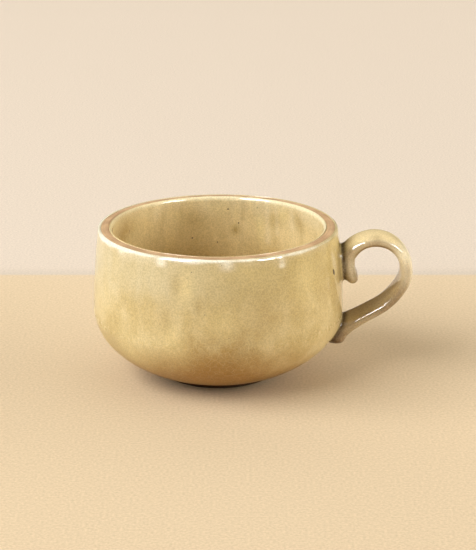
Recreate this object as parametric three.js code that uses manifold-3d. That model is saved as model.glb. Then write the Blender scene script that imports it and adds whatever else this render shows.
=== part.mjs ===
// A wheel-thrown stoneware coffee cup, as a potter makes it: a turned clay bowl on a low foot ring,
// a pulled strap handle that ends in a curl, the slip that joins the two, and the glaze coats.
// The rim and the foot are bare clay, so the inner and the outer glaze are separate coats.
// Millimetres, +Z up. The origin is on the table, in the middle of the cup's footprint.
import * as THREE from "three";
import { mergeVertices } from "three/addons/utils/BufferGeometryUtils.js";
import Module from "manifold-3d";

const wasm = await Module();
wasm.setup();

// Driving dimensions of the clay bowl
const CUP_HEIGHT = 58;
const BELLY_RADIUS = 46.85; // outside, at the widest
const BELLY_HEIGHT = 26.4; // of the widest line above the table
const RIM_INSET = 2.05; // how far the wall draws in between the belly and the rim's rounding
const WALL = 4.2;
const RIM_ROUND = 1.6;
const FLOOR = 4.6; // clay under the drink
const FOOT_RADIUS = 22; // outside of the foot ring
const FOOT_HEIGHT = 2.2;
const FOOT_WIDTH = 4.5;
const FOOT_RECESS = 1.8; // hollow inside the foot ring
const FOOT_CHAMFER = 0.6;
const FOOT_BARE = 1.5; // bare clay between the foot ring and the glaze

// Driving dimensions of the handle's clay strap
const STRAP_WIDTH = 13.3;
const STRAP_THICKNESS = 3.7;
const STRAP_SQUARENESS = 2.5; // power of the section's superellipse: 2 is an oval
const LOOP_RADIUS = 11.95; // of the strap's middle line
const LOOP_HEIGHT = 40.8; // of the loop's centre above the table
const CURL_RADIUS = 4.4; // the strap's upper end winds tighter than the loop, until it points down
const CURL_START = THREE.MathUtils.degToRad(146.5);
const TONGUE_RADIUS = 12.3; // then it lies along the wall, with a tip that curls away from it
const TONGUE_ANGLE = THREE.MathUtils.degToRad(44);
const PRESS_THICKNESS = 5.15; // of the strap's upper end, where it is pressed on the wall
const PRESS_STRETCH = 20.7; // the stretch up to the tongue's tip over which it swells and thins again
const BEND_RADIUS = 25.5; // below, the loop opens into a wider bend
const BEND_END = THREE.MathUtils.degToRad(-29); // where the bend goes over into the loop
const RUN_ANGLE = THREE.MathUtils.degToRad(29.4); // slope of the straight lower run
const RUN_LENGTH = 9.9;
const TAIL_BEND = 7.6; // how far the run heads on before the tail has turned down
const TAIL_HEIGHT = 14; // where the tail's tip is pressed on the wall
const TAIL_THICKNESS = 6.3; // of the tail's tip
const TAIL_STRETCH = 18.5; // the stretch over which it thickens
const TIP_ROUND = 3; // length of the rounding at both ends of the strap

// Driving dimensions of the slip and the glaze
const SLIP = 0.6; // thickness of the joining slip
const SLIP_BEAD = 1; // slip squeezed out past the strap's edge
const STRAP_BITE = 1; // how much of the strap is pared away where it seats
const GLAZE = 0.5;
const BARE_ANGLE = THREE.MathUtils.degToRad(39); // the glaze stops here on the rim's rounding
const SEAT_GAP = 0.3; // clearance between the wall, the slip and the strap
const COAT_GAP = 0.15; // clearance under the glaze

// Facets
const TURN_SEGMENTS = 48;
const BELLY_STEPS = 7;
const WALL_STEPS = 3;
const ROUND_STEPS = 2;
const STRAP_SIDES = 12;
const STRAP_STEPS = 28;
const TIP_STEPS = 4;
const EDGE_STEPS = 2;

const CLAY = new THREE.MeshStandardMaterial({ color: 0xad7f5a, roughness: 0.9, metalness: 0 });
const JOINING_SLIP = new THREE.MeshStandardMaterial({ color: 0x8e6e54, roughness: 0.85, metalness: 0 });
const ASH_GLAZE = new THREE.MeshStandardMaterial({ color: 0xcdb47a, roughness: 0.25, metalness: 0 });

// A closed geometry as a solid that can be joined and cut
function solidOf(geometry) {
  const bare = new THREE.BufferGeometry();
  bare.setAttribute("position", geometry.getAttribute("position"));
  bare.setIndex(geometry.index);
  const merged = mergeVertices(bare);
  return new wasm.Manifold(
    new wasm.Mesh({
      numProp: 3,
      vertProperties: merged.getAttribute("position").array,
      triVerts: new Uint32Array(merged.index.array),
    }),
  );
}

function geometryOf(solid) {
  const mesh = solid.getMesh();
  const geometry = new THREE.BufferGeometry();
  geometry.setAttribute("position", new THREE.BufferAttribute(new Float32Array(mesh.vertProperties), 3));
  geometry.setIndex(new THREE.BufferAttribute(new Uint32Array(mesh.triVerts), 1));
  geometry.computeVertexNormals();
  return geometry;
}

// A profile of (radius, height) points, turned about the cup's axis
function turned(profile) {
  return new THREE.LatheGeometry(profile, TURN_SEGMENTS).rotateX(Math.PI / 2);
}

// One point of a profile with the way its surface faces
function facing(radius, height, across, up) {
  return { at: new THREE.Vector2(radius, height), out: new THREE.Vector2(across, up).normalize() };
}

function moved(point, distance) {
  return point.at.clone().addScaledVector(point.out, distance);
}

// Points of a rounding about (radius, height), from one angle above the horizontal to another
function rounding(radius, height, size, from, to, steps) {
  return Array.from({ length: steps + 1 }, (_, i) => {
    const angle = THREE.MathUtils.lerp(from, to, i / steps);
    const across = Math.cos(angle);
    const up = Math.sin(angle);
    return facing(radius + size * across, height + size * up, across, up);
  });
}

// Points of an ellipse about the belly line, from one of its own angles to another
function ellipse(wide, tall, from, to, steps) {
  return Array.from({ length: steps + 1 }, (_, i) => {
    const angle = THREE.MathUtils.lerp(from, to, i / steps);
    const across = Math.cos(angle);
    const up = Math.sin(angle);
    return facing(wide * across, BELLY_HEIGHT + tall * up, across / wide, up / tall);
  });
}

// The outer wall is an ellipse below the belly line, down to the foot, and a taller one above it.
const rimTop = CUP_HEIGHT - RIM_ROUND;
const footAngle = -Math.acos(FOOT_RADIUS / BELLY_RADIUS);
const lowerDepth = (BELLY_HEIGHT - FOOT_HEIGHT) / -Math.sin(footAngle);
const glazeLine = -Math.acos((FOOT_RADIUS + FOOT_BARE) / BELLY_RADIUS);
const rimAngle = Math.acos((BELLY_RADIUS - RIM_INSET) / BELLY_RADIUS);
const upperRise = (rimTop - BELLY_HEIGHT) / Math.sin(rimAngle);
const lowerWall = ellipse(BELLY_RADIUS, lowerDepth, glazeLine, 0, BELLY_STEPS);
const upperWall = ellipse(BELLY_RADIUS, upperRise, 0, rimAngle, WALL_STEPS);
const wallTop = upperWall.at(-1);
const wallTopLean = wallTop.out.angle();
const outerRound = moved(wallTop, -RIM_ROUND);
const bareFrom = Math.max(BARE_ANGLE, wallTopLean);
const outerEdge = rounding(outerRound.x, outerRound.y, RIM_ROUND, wallTopLean, bareFrom, ROUND_STEPS);
const outerSurface = [...lowerWall, ...upperWall.slice(1), ...outerEdge.slice(1)];

// The inside follows the outside at the wall's thickness, down to a rounded floor.
const floorHeight = FOOT_RECESS + FLOOR;
const insideRadius = BELLY_RADIUS - WALL;
const innerFloor = ellipse(insideRadius, BELLY_HEIGHT - floorHeight, -Math.PI / 2, 0, BELLY_STEPS);
const innerWall = upperWall.slice(1).map(({ at, out }) => facing(at.x - WALL, at.y, out.x, out.y));
const innerRound = new THREE.Vector2(innerWall.at(-1).at.x + RIM_ROUND, rimTop);
const innerEdge = rounding(innerRound.x, innerRound.y, RIM_ROUND, Math.PI, Math.PI - bareFrom, ROUND_STEPS);
const innerHollow = [...innerFloor, ...innerWall].map(({ at, out }) => facing(at.x, at.y, -out.x, -out.y));
const innerSurface = [...innerHollow, ...innerEdge.slice(1)];

function bowl() {
  const bareRim = [
    ...rounding(innerRound.x, innerRound.y, RIM_ROUND, Math.PI - bareFrom, Math.PI / 2, ROUND_STEPS).slice(1),
    ...rounding(outerRound.x, outerRound.y, RIM_ROUND, Math.PI / 2, bareFrom, ROUND_STEPS).slice(0, -1),
  ];
  const footInside = FOOT_RADIUS - FOOT_WIDTH;
  const foot = [
    [FOOT_RADIUS, FOOT_HEIGHT],
    [FOOT_RADIUS, FOOT_CHAMFER],
    [FOOT_RADIUS - FOOT_CHAMFER, 0],
    [footInside + FOOT_CHAMFER, 0],
    [footInside, FOOT_CHAMFER],
    [footInside - FOOT_RECESS, FOOT_RECESS],
    [0, FOOT_RECESS],
  ].map(([radius, height]) => new THREE.Vector2(radius, height));
  const outside = [...outerSurface].reverse();
  const profile = [...innerSurface, ...bareRim, ...outside].map(({ at }) => at);
  return turned([...profile, ...foot].reverse());
}

// The rounded edge of a coat where it stops, from its outer face to its under face
function coatEdge(last, turn) {
  const middle = moved(last, COAT_GAP + GLAZE / 2);
  const start = last.out.angle();
  return Array.from({ length: EDGE_STEPS }, (_, i) => {
    const angle = start + (turn * Math.PI * (i + 1)) / (EDGE_STEPS + 1);
    return new THREE.Vector2(Math.cos(angle), Math.sin(angle)).multiplyScalar(GLAZE / 2).add(middle);
  });
}

// The two faces of a glaze coat over a surface
function coatFaces(surface) {
  const over = surface.map((point) => moved(point, COAT_GAP + GLAZE));
  const under = surface.map((point) => moved(point, COAT_GAP)).reverse();
  return { over, under };
}

// The bowl's outer wall, grown by a distance and filled to the axis
function filledWall(distance) {
  const wall = outerSurface.map((point) => moved(point, distance));
  const bottom = new THREE.Vector2(0, wall[0].y);
  const top = new THREE.Vector2(0, wall.at(-1).y);
  return solidOf(turned([bottom, ...wall, top]));
}

// The point of the outer wall at a height, with the way it faces
function wallAt(height) {
  const rise = height > BELLY_HEIGHT ? upperRise : lowerDepth;
  const angle = Math.asin((height - BELLY_HEIGHT) / rise);
  return ellipse(BELLY_RADIUS, rise, angle, angle, 1)[0];
}

// The strap's thickness near the tongue, at a distance from the tongue's tip
function pressedThickness(fromTip) {
  const share = THREE.MathUtils.clamp(fromTip / PRESS_STRETCH, 0, 1);
  return THREE.MathUtils.lerp(STRAP_THICKNESS, PRESS_THICKNESS, Math.sin(Math.PI * share) ** 2);
}

// The strap's middle line, from the tail's tip on the wall, up the run and round the loop to the curl
function strapPath() {
  const seat = 2 * SEAT_GAP + SLIP - STRAP_BITE;
  const curlThickness = pressedThickness(TONGUE_RADIUS * TONGUE_ANGLE);
  const curlOffset = LOOP_RADIUS - CURL_RADIUS;
  const curlHeight = LOOP_HEIGHT + curlOffset * Math.sin(CURL_START);
  const curlX = wallAt(curlHeight).at.x + seat + curlThickness / 2 + CURL_RADIUS;
  const loopX = curlX - curlOffset * Math.cos(CURL_START);
  const tongueX = curlX - CURL_RADIUS + TONGUE_RADIUS;
  const bendOffset = LOOP_RADIUS - BEND_RADIUS;
  const bendX = loopX + bendOffset * Math.cos(BEND_END);
  const bendHeight = LOOP_HEIGHT + bendOffset * Math.sin(BEND_END);
  const bendStart = RUN_ANGLE - Math.PI / 2;
  const tail = moved(wallAt(TAIL_HEIGHT), seat + TAIL_THICKNESS / 2);
  const runWay = new THREE.Vector2(Math.cos(RUN_ANGLE), Math.sin(RUN_ANGLE));
  const runEnd = new THREE.Vector2(
    bendX + BEND_RADIUS * Math.cos(bendStart),
    bendHeight + BEND_RADIUS * Math.sin(bendStart),
  );
  const runStart = runEnd.clone().addScaledVector(runWay, -RUN_LENGTH);
  const tailTurn = runStart.clone().addScaledVector(runWay, -TAIL_BEND);
  return new THREE.Path()
    .moveTo(tail.x, tail.y)
    .quadraticCurveTo(tailTurn.x, tailTurn.y, runStart.x, runStart.y)
    .lineTo(runEnd.x, runEnd.y)
    .absarc(bendX, bendHeight, BEND_RADIUS, bendStart, BEND_END, false)
    .absarc(loopX, LOOP_HEIGHT, LOOP_RADIUS, BEND_END, CURL_START, false)
    .absarc(curlX, curlHeight, CURL_RADIUS, CURL_START, Math.PI, false)
    .absarc(tongueX, curlHeight, TONGUE_RADIUS, Math.PI, Math.PI + TONGUE_ANGLE, false);
}

const middleLine = strapPath();
const strapLength = middleLine.getLength();

// Distances along the strap of its rings: close together on the rounded tips, even between them
function ringDistances(swell) {
  const tip = TIP_ROUND + swell;
  const onTip = Array.from({ length: TIP_STEPS }, (_, i) => {
    return tip * (1 - Math.cos((Math.PI / 2) * ((i + 1) / TIP_STEPS))) - swell;
  });
  const between = Array.from({ length: STRAP_STEPS - 1 }, (_, i) => {
    return THREE.MathUtils.lerp(TIP_ROUND, strapLength - TIP_ROUND, (i + 1) / STRAP_STEPS);
  });
  return [...onTip, ...between, ...onTip.map((distance) => strapLength - distance).reverse()];
}

// A place on the middle line; past either end it goes straight on
function placeOnStrap(distance) {
  const share = THREE.MathUtils.clamp(distance / strapLength, 0, 1);
  const along = middleLine.getTangent(share);
  const at = middleLine.getPoint(share).addScaledVector(along, distance - share * strapLength);
  return { at, along };
}

// The strap's thickness at a distance from the tail's tip
function thicknessAt(distance) {
  const fromTail = THREE.MathUtils.smoothstep(distance, 0, TAIL_STRETCH);
  return THREE.MathUtils.lerp(TAIL_THICKNESS, pressedThickness(strapLength - distance), fromTail);
}

// The strap as a loft of superellipse sections, grown by a distance all round
function strap(swell) {
  const tip = TIP_ROUND + swell;
  const positions = [];
  const addPoint = (at, offset, width) => positions.push(at.x + offset.x, width, at.y + offset.y);
  const addPole = (distance) => addPoint(placeOnStrap(distance).at, new THREE.Vector2(), 0);
  const shape = (value) => Math.sign(value) * Math.abs(value) ** (2 / STRAP_SQUARENESS);
  const rings = ringDistances(swell);
  addPole(-swell);
  for (const distance of rings) {
    const { at, along } = placeOnStrap(distance);
    const fromEnd = Math.min(distance, strapLength - distance) + swell;
    const fullness = fromEnd < tip ? Math.sqrt(1 - (1 - fromEnd / tip) ** 2) : 1;
    const halfThickness = fullness * (thicknessAt(distance) / 2 + swell);
    const halfWidth = fullness * (STRAP_WIDTH / 2 + swell);
    const across = new THREE.Vector2(-along.y, along.x);
    for (let side = 0; side < STRAP_SIDES; side += 1) {
      const angle = (2 * Math.PI * side) / STRAP_SIDES;
      const offset = across.clone().multiplyScalar(halfThickness * shape(Math.cos(angle)));
      addPoint(at, offset, halfWidth * shape(Math.sin(angle)));
    }
  }
  addPole(strapLength + swell);

  const corner = (ring, side) => 1 + ring * STRAP_SIDES + (side % STRAP_SIDES);
  const lastPole = 1 + rings.length * STRAP_SIDES;
  const faces = [];
  for (let side = 0; side < STRAP_SIDES; side += 1) {
    faces.push(0, corner(0, side), corner(0, side + 1));
    for (let ring = 0; ring < rings.length - 1; ring += 1) {
      faces.push(corner(ring, side), corner(ring + 1, side), corner(ring + 1, side + 1));
      faces.push(corner(ring, side), corner(ring + 1, side + 1), corner(ring, side + 1));
    }
    faces.push(lastPole, corner(rings.length - 1, side + 1), corner(rings.length - 1, side));
  }
  const geometry = new THREE.BufferGeometry();
  geometry.setAttribute("position", new THREE.Float32BufferAttribute(positions, 3));
  geometry.setIndex(faces);
  return solidOf(geometry);
}

// The strap's print on the wall, as wide as the bead of slip round it, and grown by a distance
function slipPrint(distance) {
  return strap(SLIP_BEAD + distance).intersect(filledWall(SEAT_GAP + SLIP + distance));
}

// Everything on one side of the height where the handle stands free of the wall
function halfSpace(above) {
  const reach = 4 * (BELLY_RADIUS + LOOP_RADIUS + CUP_HEIGHT);
  const splitHeight = (TAIL_HEIGHT + LOOP_HEIGHT) / 2;
  const half = new THREE.BoxGeometry(reach, reach, reach);
  return solidOf(half.translate(0, 0, splitHeight + (above ? reach / 2 : -reach / 2)));
}

function handle() {
  return strap(0).subtract(filledWall(2 * SEAT_GAP + SLIP));
}

// The outer coat runs over the wall, the slip and the whole handle without a break.
function outerGlaze() {
  const { over, under } = coatFaces(outerSurface);
  const rimEdge = coatEdge(outerSurface.at(-1), 1);
  const footEdge = coatEdge(outerSurface[0], -1).reverse();
  const wallCoat = solidOf(turned([...over, ...rimEdge, ...under, ...footEdge, over[0].clone()]));
  const overHandle = strap(COAT_GAP + GLAZE).add(slipPrint(COAT_GAP + GLAZE));
  const underHandle = strap(COAT_GAP).add(slipPrint(COAT_GAP));
  const handleCoat = overHandle.subtract(filledWall(COAT_GAP + GLAZE / 2));
  return wallCoat.add(handleCoat).subtract(underHandle);
}

function innerGlaze() {
  const { over, under } = coatFaces(innerSurface);
  const rimEdge = coatEdge(innerSurface.at(-1), -1);
  return turned([...over, ...rimEdge, ...under].reverse());
}

const cup = new THREE.Group();

function addPart(name, geometry, material) {
  const mesh = new THREE.Mesh(geometry, material);
  mesh.name = name;
  cup.add(mesh);
}

const slip = slipPrint(0).subtract(filledWall(SEAT_GAP));
addPart("bowl", bowl(), CLAY);
addPart("handle", geometryOf(handle()), CLAY);
addPart("upper_slip_joint", geometryOf(slip.intersect(halfSpace(true))), JOINING_SLIP);
addPart("lower_slip_joint", geometryOf(slip.intersect(halfSpace(false))), JOINING_SLIP);
addPart("inner_glaze", innerGlaze(), ASH_GLAZE);
addPart("outer_glaze", geometryOf(outerGlaze()), ASH_GLAZE);

// The handle makes the cup longer on one side, so the bowl's axis stands off the footprint's middle.
const footprint = new THREE.Box3().setFromObject(cup);
cup.position.x = -footprint.getCenter(new THREE.Vector3()).x;

const coffeeCup = new THREE.Group();
coffeeCup.add(cup);
export default coffeeCup;
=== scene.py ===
"""Looks of a wheel-thrown stoneware coffee cup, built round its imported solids.

The clay bowl, the two glaze coats and the iron specks are modelled here more finely than the solids
are: turned, swept and scattered by geometry nodes, joined at the handle with soft fillets, and dressed
with procedural finishes. The pulled handle and the joining slip keep their solids, under the coat.
Metres, +Z up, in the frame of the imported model.
"""

import logging
import math
from dataclasses import dataclass
from enum import Enum

import bpy
import numpy as np
from bpy.types import ID, Material, Mesh, Node, NodeSocket, NodeTree, Object, bpy_prop_collection
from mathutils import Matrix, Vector
from mathutils.bvhtree import BVHTree


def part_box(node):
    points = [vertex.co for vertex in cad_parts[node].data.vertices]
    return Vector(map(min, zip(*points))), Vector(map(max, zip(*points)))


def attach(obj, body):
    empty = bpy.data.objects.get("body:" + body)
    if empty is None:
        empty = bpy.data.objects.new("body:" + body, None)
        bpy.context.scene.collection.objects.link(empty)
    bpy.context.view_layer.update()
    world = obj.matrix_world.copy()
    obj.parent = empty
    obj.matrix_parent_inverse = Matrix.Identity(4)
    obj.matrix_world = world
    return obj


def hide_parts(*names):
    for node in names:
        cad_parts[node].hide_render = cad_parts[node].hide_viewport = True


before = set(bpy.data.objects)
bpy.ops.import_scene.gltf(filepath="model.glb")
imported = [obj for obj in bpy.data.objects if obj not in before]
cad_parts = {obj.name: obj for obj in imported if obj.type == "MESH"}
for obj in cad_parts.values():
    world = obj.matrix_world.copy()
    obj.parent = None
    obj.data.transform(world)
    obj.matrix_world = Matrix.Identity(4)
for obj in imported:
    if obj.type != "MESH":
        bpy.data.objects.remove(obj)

MM = 0.001
CUP_BODY = "root"
CLAY_SLOT = "bare_clay"
GLAZE_SLOT = "ash_glaze"
NOISE_MEAN = 0.5
ON_FACE = 0.02 * MM

Array = np.ndarray
Colour = tuple[float, float, float]
Point = tuple[float, float, float]
Values = dict[str, object]

logging.basicConfig(level=logging.INFO, format="%(name)s: %(message)s")
log = logging.getLogger("coffee_cup")


def spaced(values: Values) -> Values:
    """The same values, with spaces for the low lines in their names."""
    return {name.replace("_", " "): value for name, value in values.items()}


class Wire:
    """A node socket that Python's operators work on: each adds one Math node."""

    def __init__(self, bench: "Bench", socket: NodeSocket) -> None:
        """Keep the socket and the bench that it is wired on."""
        self.bench = bench
        self.socket = socket

    def __add__(self, other: "Wire | float") -> "Wire":
        """Sum of two values."""
        return self.bench.math("ADD", self, other)

    __radd__ = __add__

    def __sub__(self, other: "Wire | float") -> "Wire":
        """Difference of two values."""
        return self.bench.math("SUBTRACT", self, other)

    def __rsub__(self, other: float) -> "Wire":
        """Difference from a number."""
        return self.bench.math("SUBTRACT", other, self)

    def __mul__(self, other: "Wire | float") -> "Wire":
        """Product of two values."""
        return self.bench.math("MULTIPLY", self, other)

    __rmul__ = __mul__

    def __truediv__(self, other: "Wire | float") -> "Wire":
        """Quotient of two values."""
        return self.bench.math("DIVIDE", self, other)

    def __rtruediv__(self, other: float) -> "Wire":
        """Quotient of a number by this value."""
        return self.bench.math("DIVIDE", other, self)

    def __pow__(self, other: "Wire | float") -> "Wire":
        """Power of a value."""
        return self.bench.math("POWER", self, other)

    def __abs__(self) -> "Wire":
        """Size of a value without its sign."""
        return self.bench.math("ABSOLUTE", self)


class Bench:
    """Lays out the nodes of one tree, for a finish or for a form."""

    def __init__(self, tree: NodeTree) -> None:
        """Keep the tree that the nodes go into."""
        self.tree = tree

    def node(self, kind: str, settings: Values | None = None, sockets: Values | None = None) -> Node:
        """Add a node.

        Args:
            kind: the node's type.
            settings: its own settings, which are set first.
            sockets: a value or a Wire for each input, by the input's name or identifier.

        Returns:
            The new node.
        """
        made = self.tree.nodes.new(kind)
        for name, value in (settings or {}).items():
            setattr(made, name, value)
        for name, value in (sockets or {}).items():
            self.feed(self.find(made.inputs, name), value)
        return made

    @staticmethod
    def find(sockets: bpy_prop_collection, name: str) -> NodeSocket:
        """Socket of a node by its identifier or its name."""
        return next(s for s in sockets if s.enabled and name in (s.identifier, s.name))

    def feed(self, socket: NodeSocket, value: object) -> None:
        """Link a Wire to an input, or set the input's value.

        Args:
            socket: the input.
            value: a Wire, a number, a word or a colour of three parts.
        """
        if isinstance(value, Wire):
            self.tree.links.new(value.socket, socket)
        elif socket.type == "RGBA":
            socket.default_value = (*value, 1.0)
        else:
            socket.default_value = value

    def out(
        self, name: str, kind: str, settings: Values | None = None, sockets: Values | None = None
    ) -> Wire:
        """Add a node and take one of its outputs.

        Args:
            name: the output's name or identifier.
            kind: the node's type.
            settings: its own settings.
            sockets: values or Wires for its inputs.

        Returns:
            The output as a Wire.
        """
        return Wire(self, self.find(self.node(kind, settings, sockets).outputs, name))

    def math(self, operation: str, *values: Wire | float) -> Wire:
        """Work out one step of arithmetic.

        Args:
            operation: the Math node's operation.
            values: its inputs, in order.

        Returns:
            The result.
        """
        made = self.node("ShaderNodeMath", {"operation": operation})
        for socket, value in zip(made.inputs, values):
            self.feed(socket, value)
        return Wire(self, made.outputs[0])

    def parts(self, vector: Wire) -> tuple[Wire, Wire, Wire]:
        """X, Y and Z of a vector."""
        made = self.node("ShaderNodeSeparateXYZ", None, {"Vector": vector})
        return tuple(Wire(self, socket) for socket in made.outputs)

    def vector(self, x: Wire | float, y: Wire | float, z: Wire | float) -> Wire:
        """Vector of three values."""
        return self.out("Vector", "ShaderNodeCombineXYZ", None, {"X": x, "Y": y, "Z": z})

    def vectors(self, operation: str, first: Wire, second: Wire | Point) -> Wire:
        """Work out one step on two vectors or colours, part by part.

        Args:
            operation: the Vector Math node's operation.
            first: the one vector.
            second: the other, or three numbers.

        Returns:
            The result.
        """
        made = self.node("ShaderNodeVectorMath", {"operation": operation})
        self.feed(made.inputs[0], first)
        self.feed(made.inputs[1], second)
        return Wire(self, made.outputs[0])

    def stretched(self, vector: Wire, by: Point) -> Wire:
        """Vector or colour with each part multiplied by its own number."""
        return self.vectors("MULTIPLY", vector, by)

    def moved(self, vector: Wire, by: Wire) -> Wire:
        """Sum of two vectors."""
        return self.vectors("ADD", vector, by)

    def scaled(self, vector: Wire, by: Wire | float) -> Wire:
        """Vector or colour multiplied by one value."""
        sockets = {"Vector": vector, "Scale": by}
        return self.out("Vector", "ShaderNodeVectorMath", {"operation": "SCALE"}, sockets)

    def smooth(self, value: Wire, low: Wire | float, high: Wire | float) -> Wire:
        """Soft step from 0 at the low value to 1 at the high one."""
        sockets = {"Value": value, "From Min": low, "From Max": high}
        return self.out("Result", "ShaderNodeMapRange", {"interpolation_type": "SMOOTHSTEP"}, sockets)

    def mix(self, share: Wire | float, under: Wire | Colour, over: Wire | Colour) -> Wire:
        """Blend of two colours by a share from 0 to 1."""
        sockets = {"Factor": share, "A": under, "B": over}
        return self.out("Result", "ShaderNodeMix", {"data_type": "RGBA"}, sockets)

    def layered(self, colour: Wire | Colour, *layers: tuple[Wire, Wire | Colour]) -> Wire:
        """Colour with others laid over it in order.

        Args:
            colour: the lowest colour.
            layers: each further colour, after the share from 0 to 1 that it covers.

        Returns:
            The colour that is seen.
        """
        for share, over in layers:
            colour = self.mix(share, colour, over)
        return colour

    def noise(self, vector: Wire, size: float, detail: float = 2.0, roughness: float = 0.5) -> Wire:
        """Soft noise about 0.5.

        Args:
            vector: where it is read.
            size: width of its patches, in the vector's own unit.
            detail: how many finer layers it has.
            roughness: how strong the finer layers are.

        Returns:
            The noise's value.
        """
        sockets = {"Vector": vector, "Scale": 1 / size, "Detail": detail, "Roughness": roughness}
        return self.out("Fac", "ShaderNodeTexNoise", None, sockets)

    def spot(self) -> Wire:
        """Where the surface is, in a finish."""
        return self.out("Object", "ShaderNodeTexCoord")

    def attribute(self, name: str) -> Wire:
        """Value of a mesh attribute, in a finish."""
        return self.out("Fac", "ShaderNodeAttribute", {"attribute_name": name})

    def shape(self, kind: str, **sockets: object) -> Wire:
        """Add a geometry node of a kind, and take the shape that it makes."""
        return self.out("Geometry", f"GeometryNode{kind}", None, sockets)


@dataclass(frozen=True)
class Skin:
    """Points of a turned surface, as radius and height, with the way each faces."""

    at: Array
    out: Array

    def moved(self, distance: float | Array) -> Array:
        """Points at a distance from the skin, on the side that it faces."""
        return self.at + self.out * np.reshape(distance, (-1, 1))

    def then(self, other: "Skin") -> "Skin":
        """This skin followed by another that starts where it ends."""
        return Skin(np.vstack([self.at, other.at[1:]]), np.vstack([self.out, other.out[1:]]))


def arc(centre: Array, size: float, start: float, stop: float, steps: int) -> Skin:
    """Points of a rounding.

    Args:
        centre: radius and height of its centre.
        size: its own radius.
        start: angle of its first point above the horizontal, in radians.
        stop: angle of its last point.
        steps: how many steps between them.

    Returns:
        The rounding as a skin.
    """
    angles = np.linspace(start, stop, steps + 1)
    out = np.stack([np.cos(angles), np.sin(angles)], axis=1)
    return Skin(centre + size * out, out)


def way_at(angle: float) -> Array:
    """Way of length 1 at an angle above the horizontal, as distance and height."""
    return np.array([math.cos(angle), math.sin(angle)])


def run_along(line: Array) -> Array:
    """Distance of each point of a line from its first one, measured along it."""
    steps = np.linalg.norm(np.diff(line, axis=0), axis=1)
    return np.concatenate([[0], np.cumsum(steps)])


def soft_step(value: Array, low: float, high: float) -> Array:
    """Soft step from 0 at the low value to 1 at the high one."""
    share = np.clip((value - low) / (high - low), 0, 1)
    return share * share * (3 - 2 * share)


def bell(away: Array) -> Array:
    """Soft hump that is 1 in the middle and falls away on both sides."""
    return np.exp(-(away**2))


@dataclass(frozen=True)
class Band:
    """A soft step between two levels, and the share that it rises to."""

    low: float
    high: float
    share: float = 1.0

    def wire(self, level: Wire) -> Wire:
        """The step in a finish: 0 at the low level, the share at the high one."""
        return level.bench.smooth(level, self.low, self.high) * self.share

    def of(self, level: Array) -> Array:
        """The same step for the corners of a mesh."""
        return self.share * soft_step(level, self.low, self.high)


@dataclass(frozen=True)
class Uneven:
    """A level that follows a pattern: its value where the pattern is 0, and what the pattern adds."""

    base: float
    gain: float

    def wire(self, pattern: Wire) -> Wire:
        """The level in a finish."""
        return self.base + self.gain * pattern


def soft_bend(first: Array, corner: Array, last: Array, steps: int) -> Array:
    """Points of a bend that leaves one point towards a corner and comes from there to another.

    Args:
        first: the point where it starts.
        corner: the corner that it is drawn to.
        last: the point where it ends.
        steps: how many steps it has.

    Returns:
        Its points, both ends included.
    """
    share = np.linspace(0, 1, steps + 1).reshape(-1, 1)
    return (1 - share) ** 2 * first + 2 * share * (1 - share) * corner + share**2 * last


def eased(corners: list[tuple[float, float]], radius: float, steps: int) -> Array:
    """Round the inner corners of a line.

    Args:
        corners: the line's corners, as radius and height.
        radius: how far from each corner the rounding starts.
        steps: how many steps each rounding has.

    Returns:
        The points of the rounded line.
    """
    line = [np.array(corners[0])]
    for before, corner, after in zip(corners, corners[1:], corners[2:]):
        before, corner, after = np.array(before), np.array(corner), np.array(after)
        first = corner + radius * (before - corner) / np.linalg.norm(before - corner)
        last = corner + radius * (after - corner) / np.linalg.norm(after - corner)
        line.extend(soft_bend(first, corner, last, steps))
    line.append(np.array(corners[-1]))
    return np.array(line)


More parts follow.
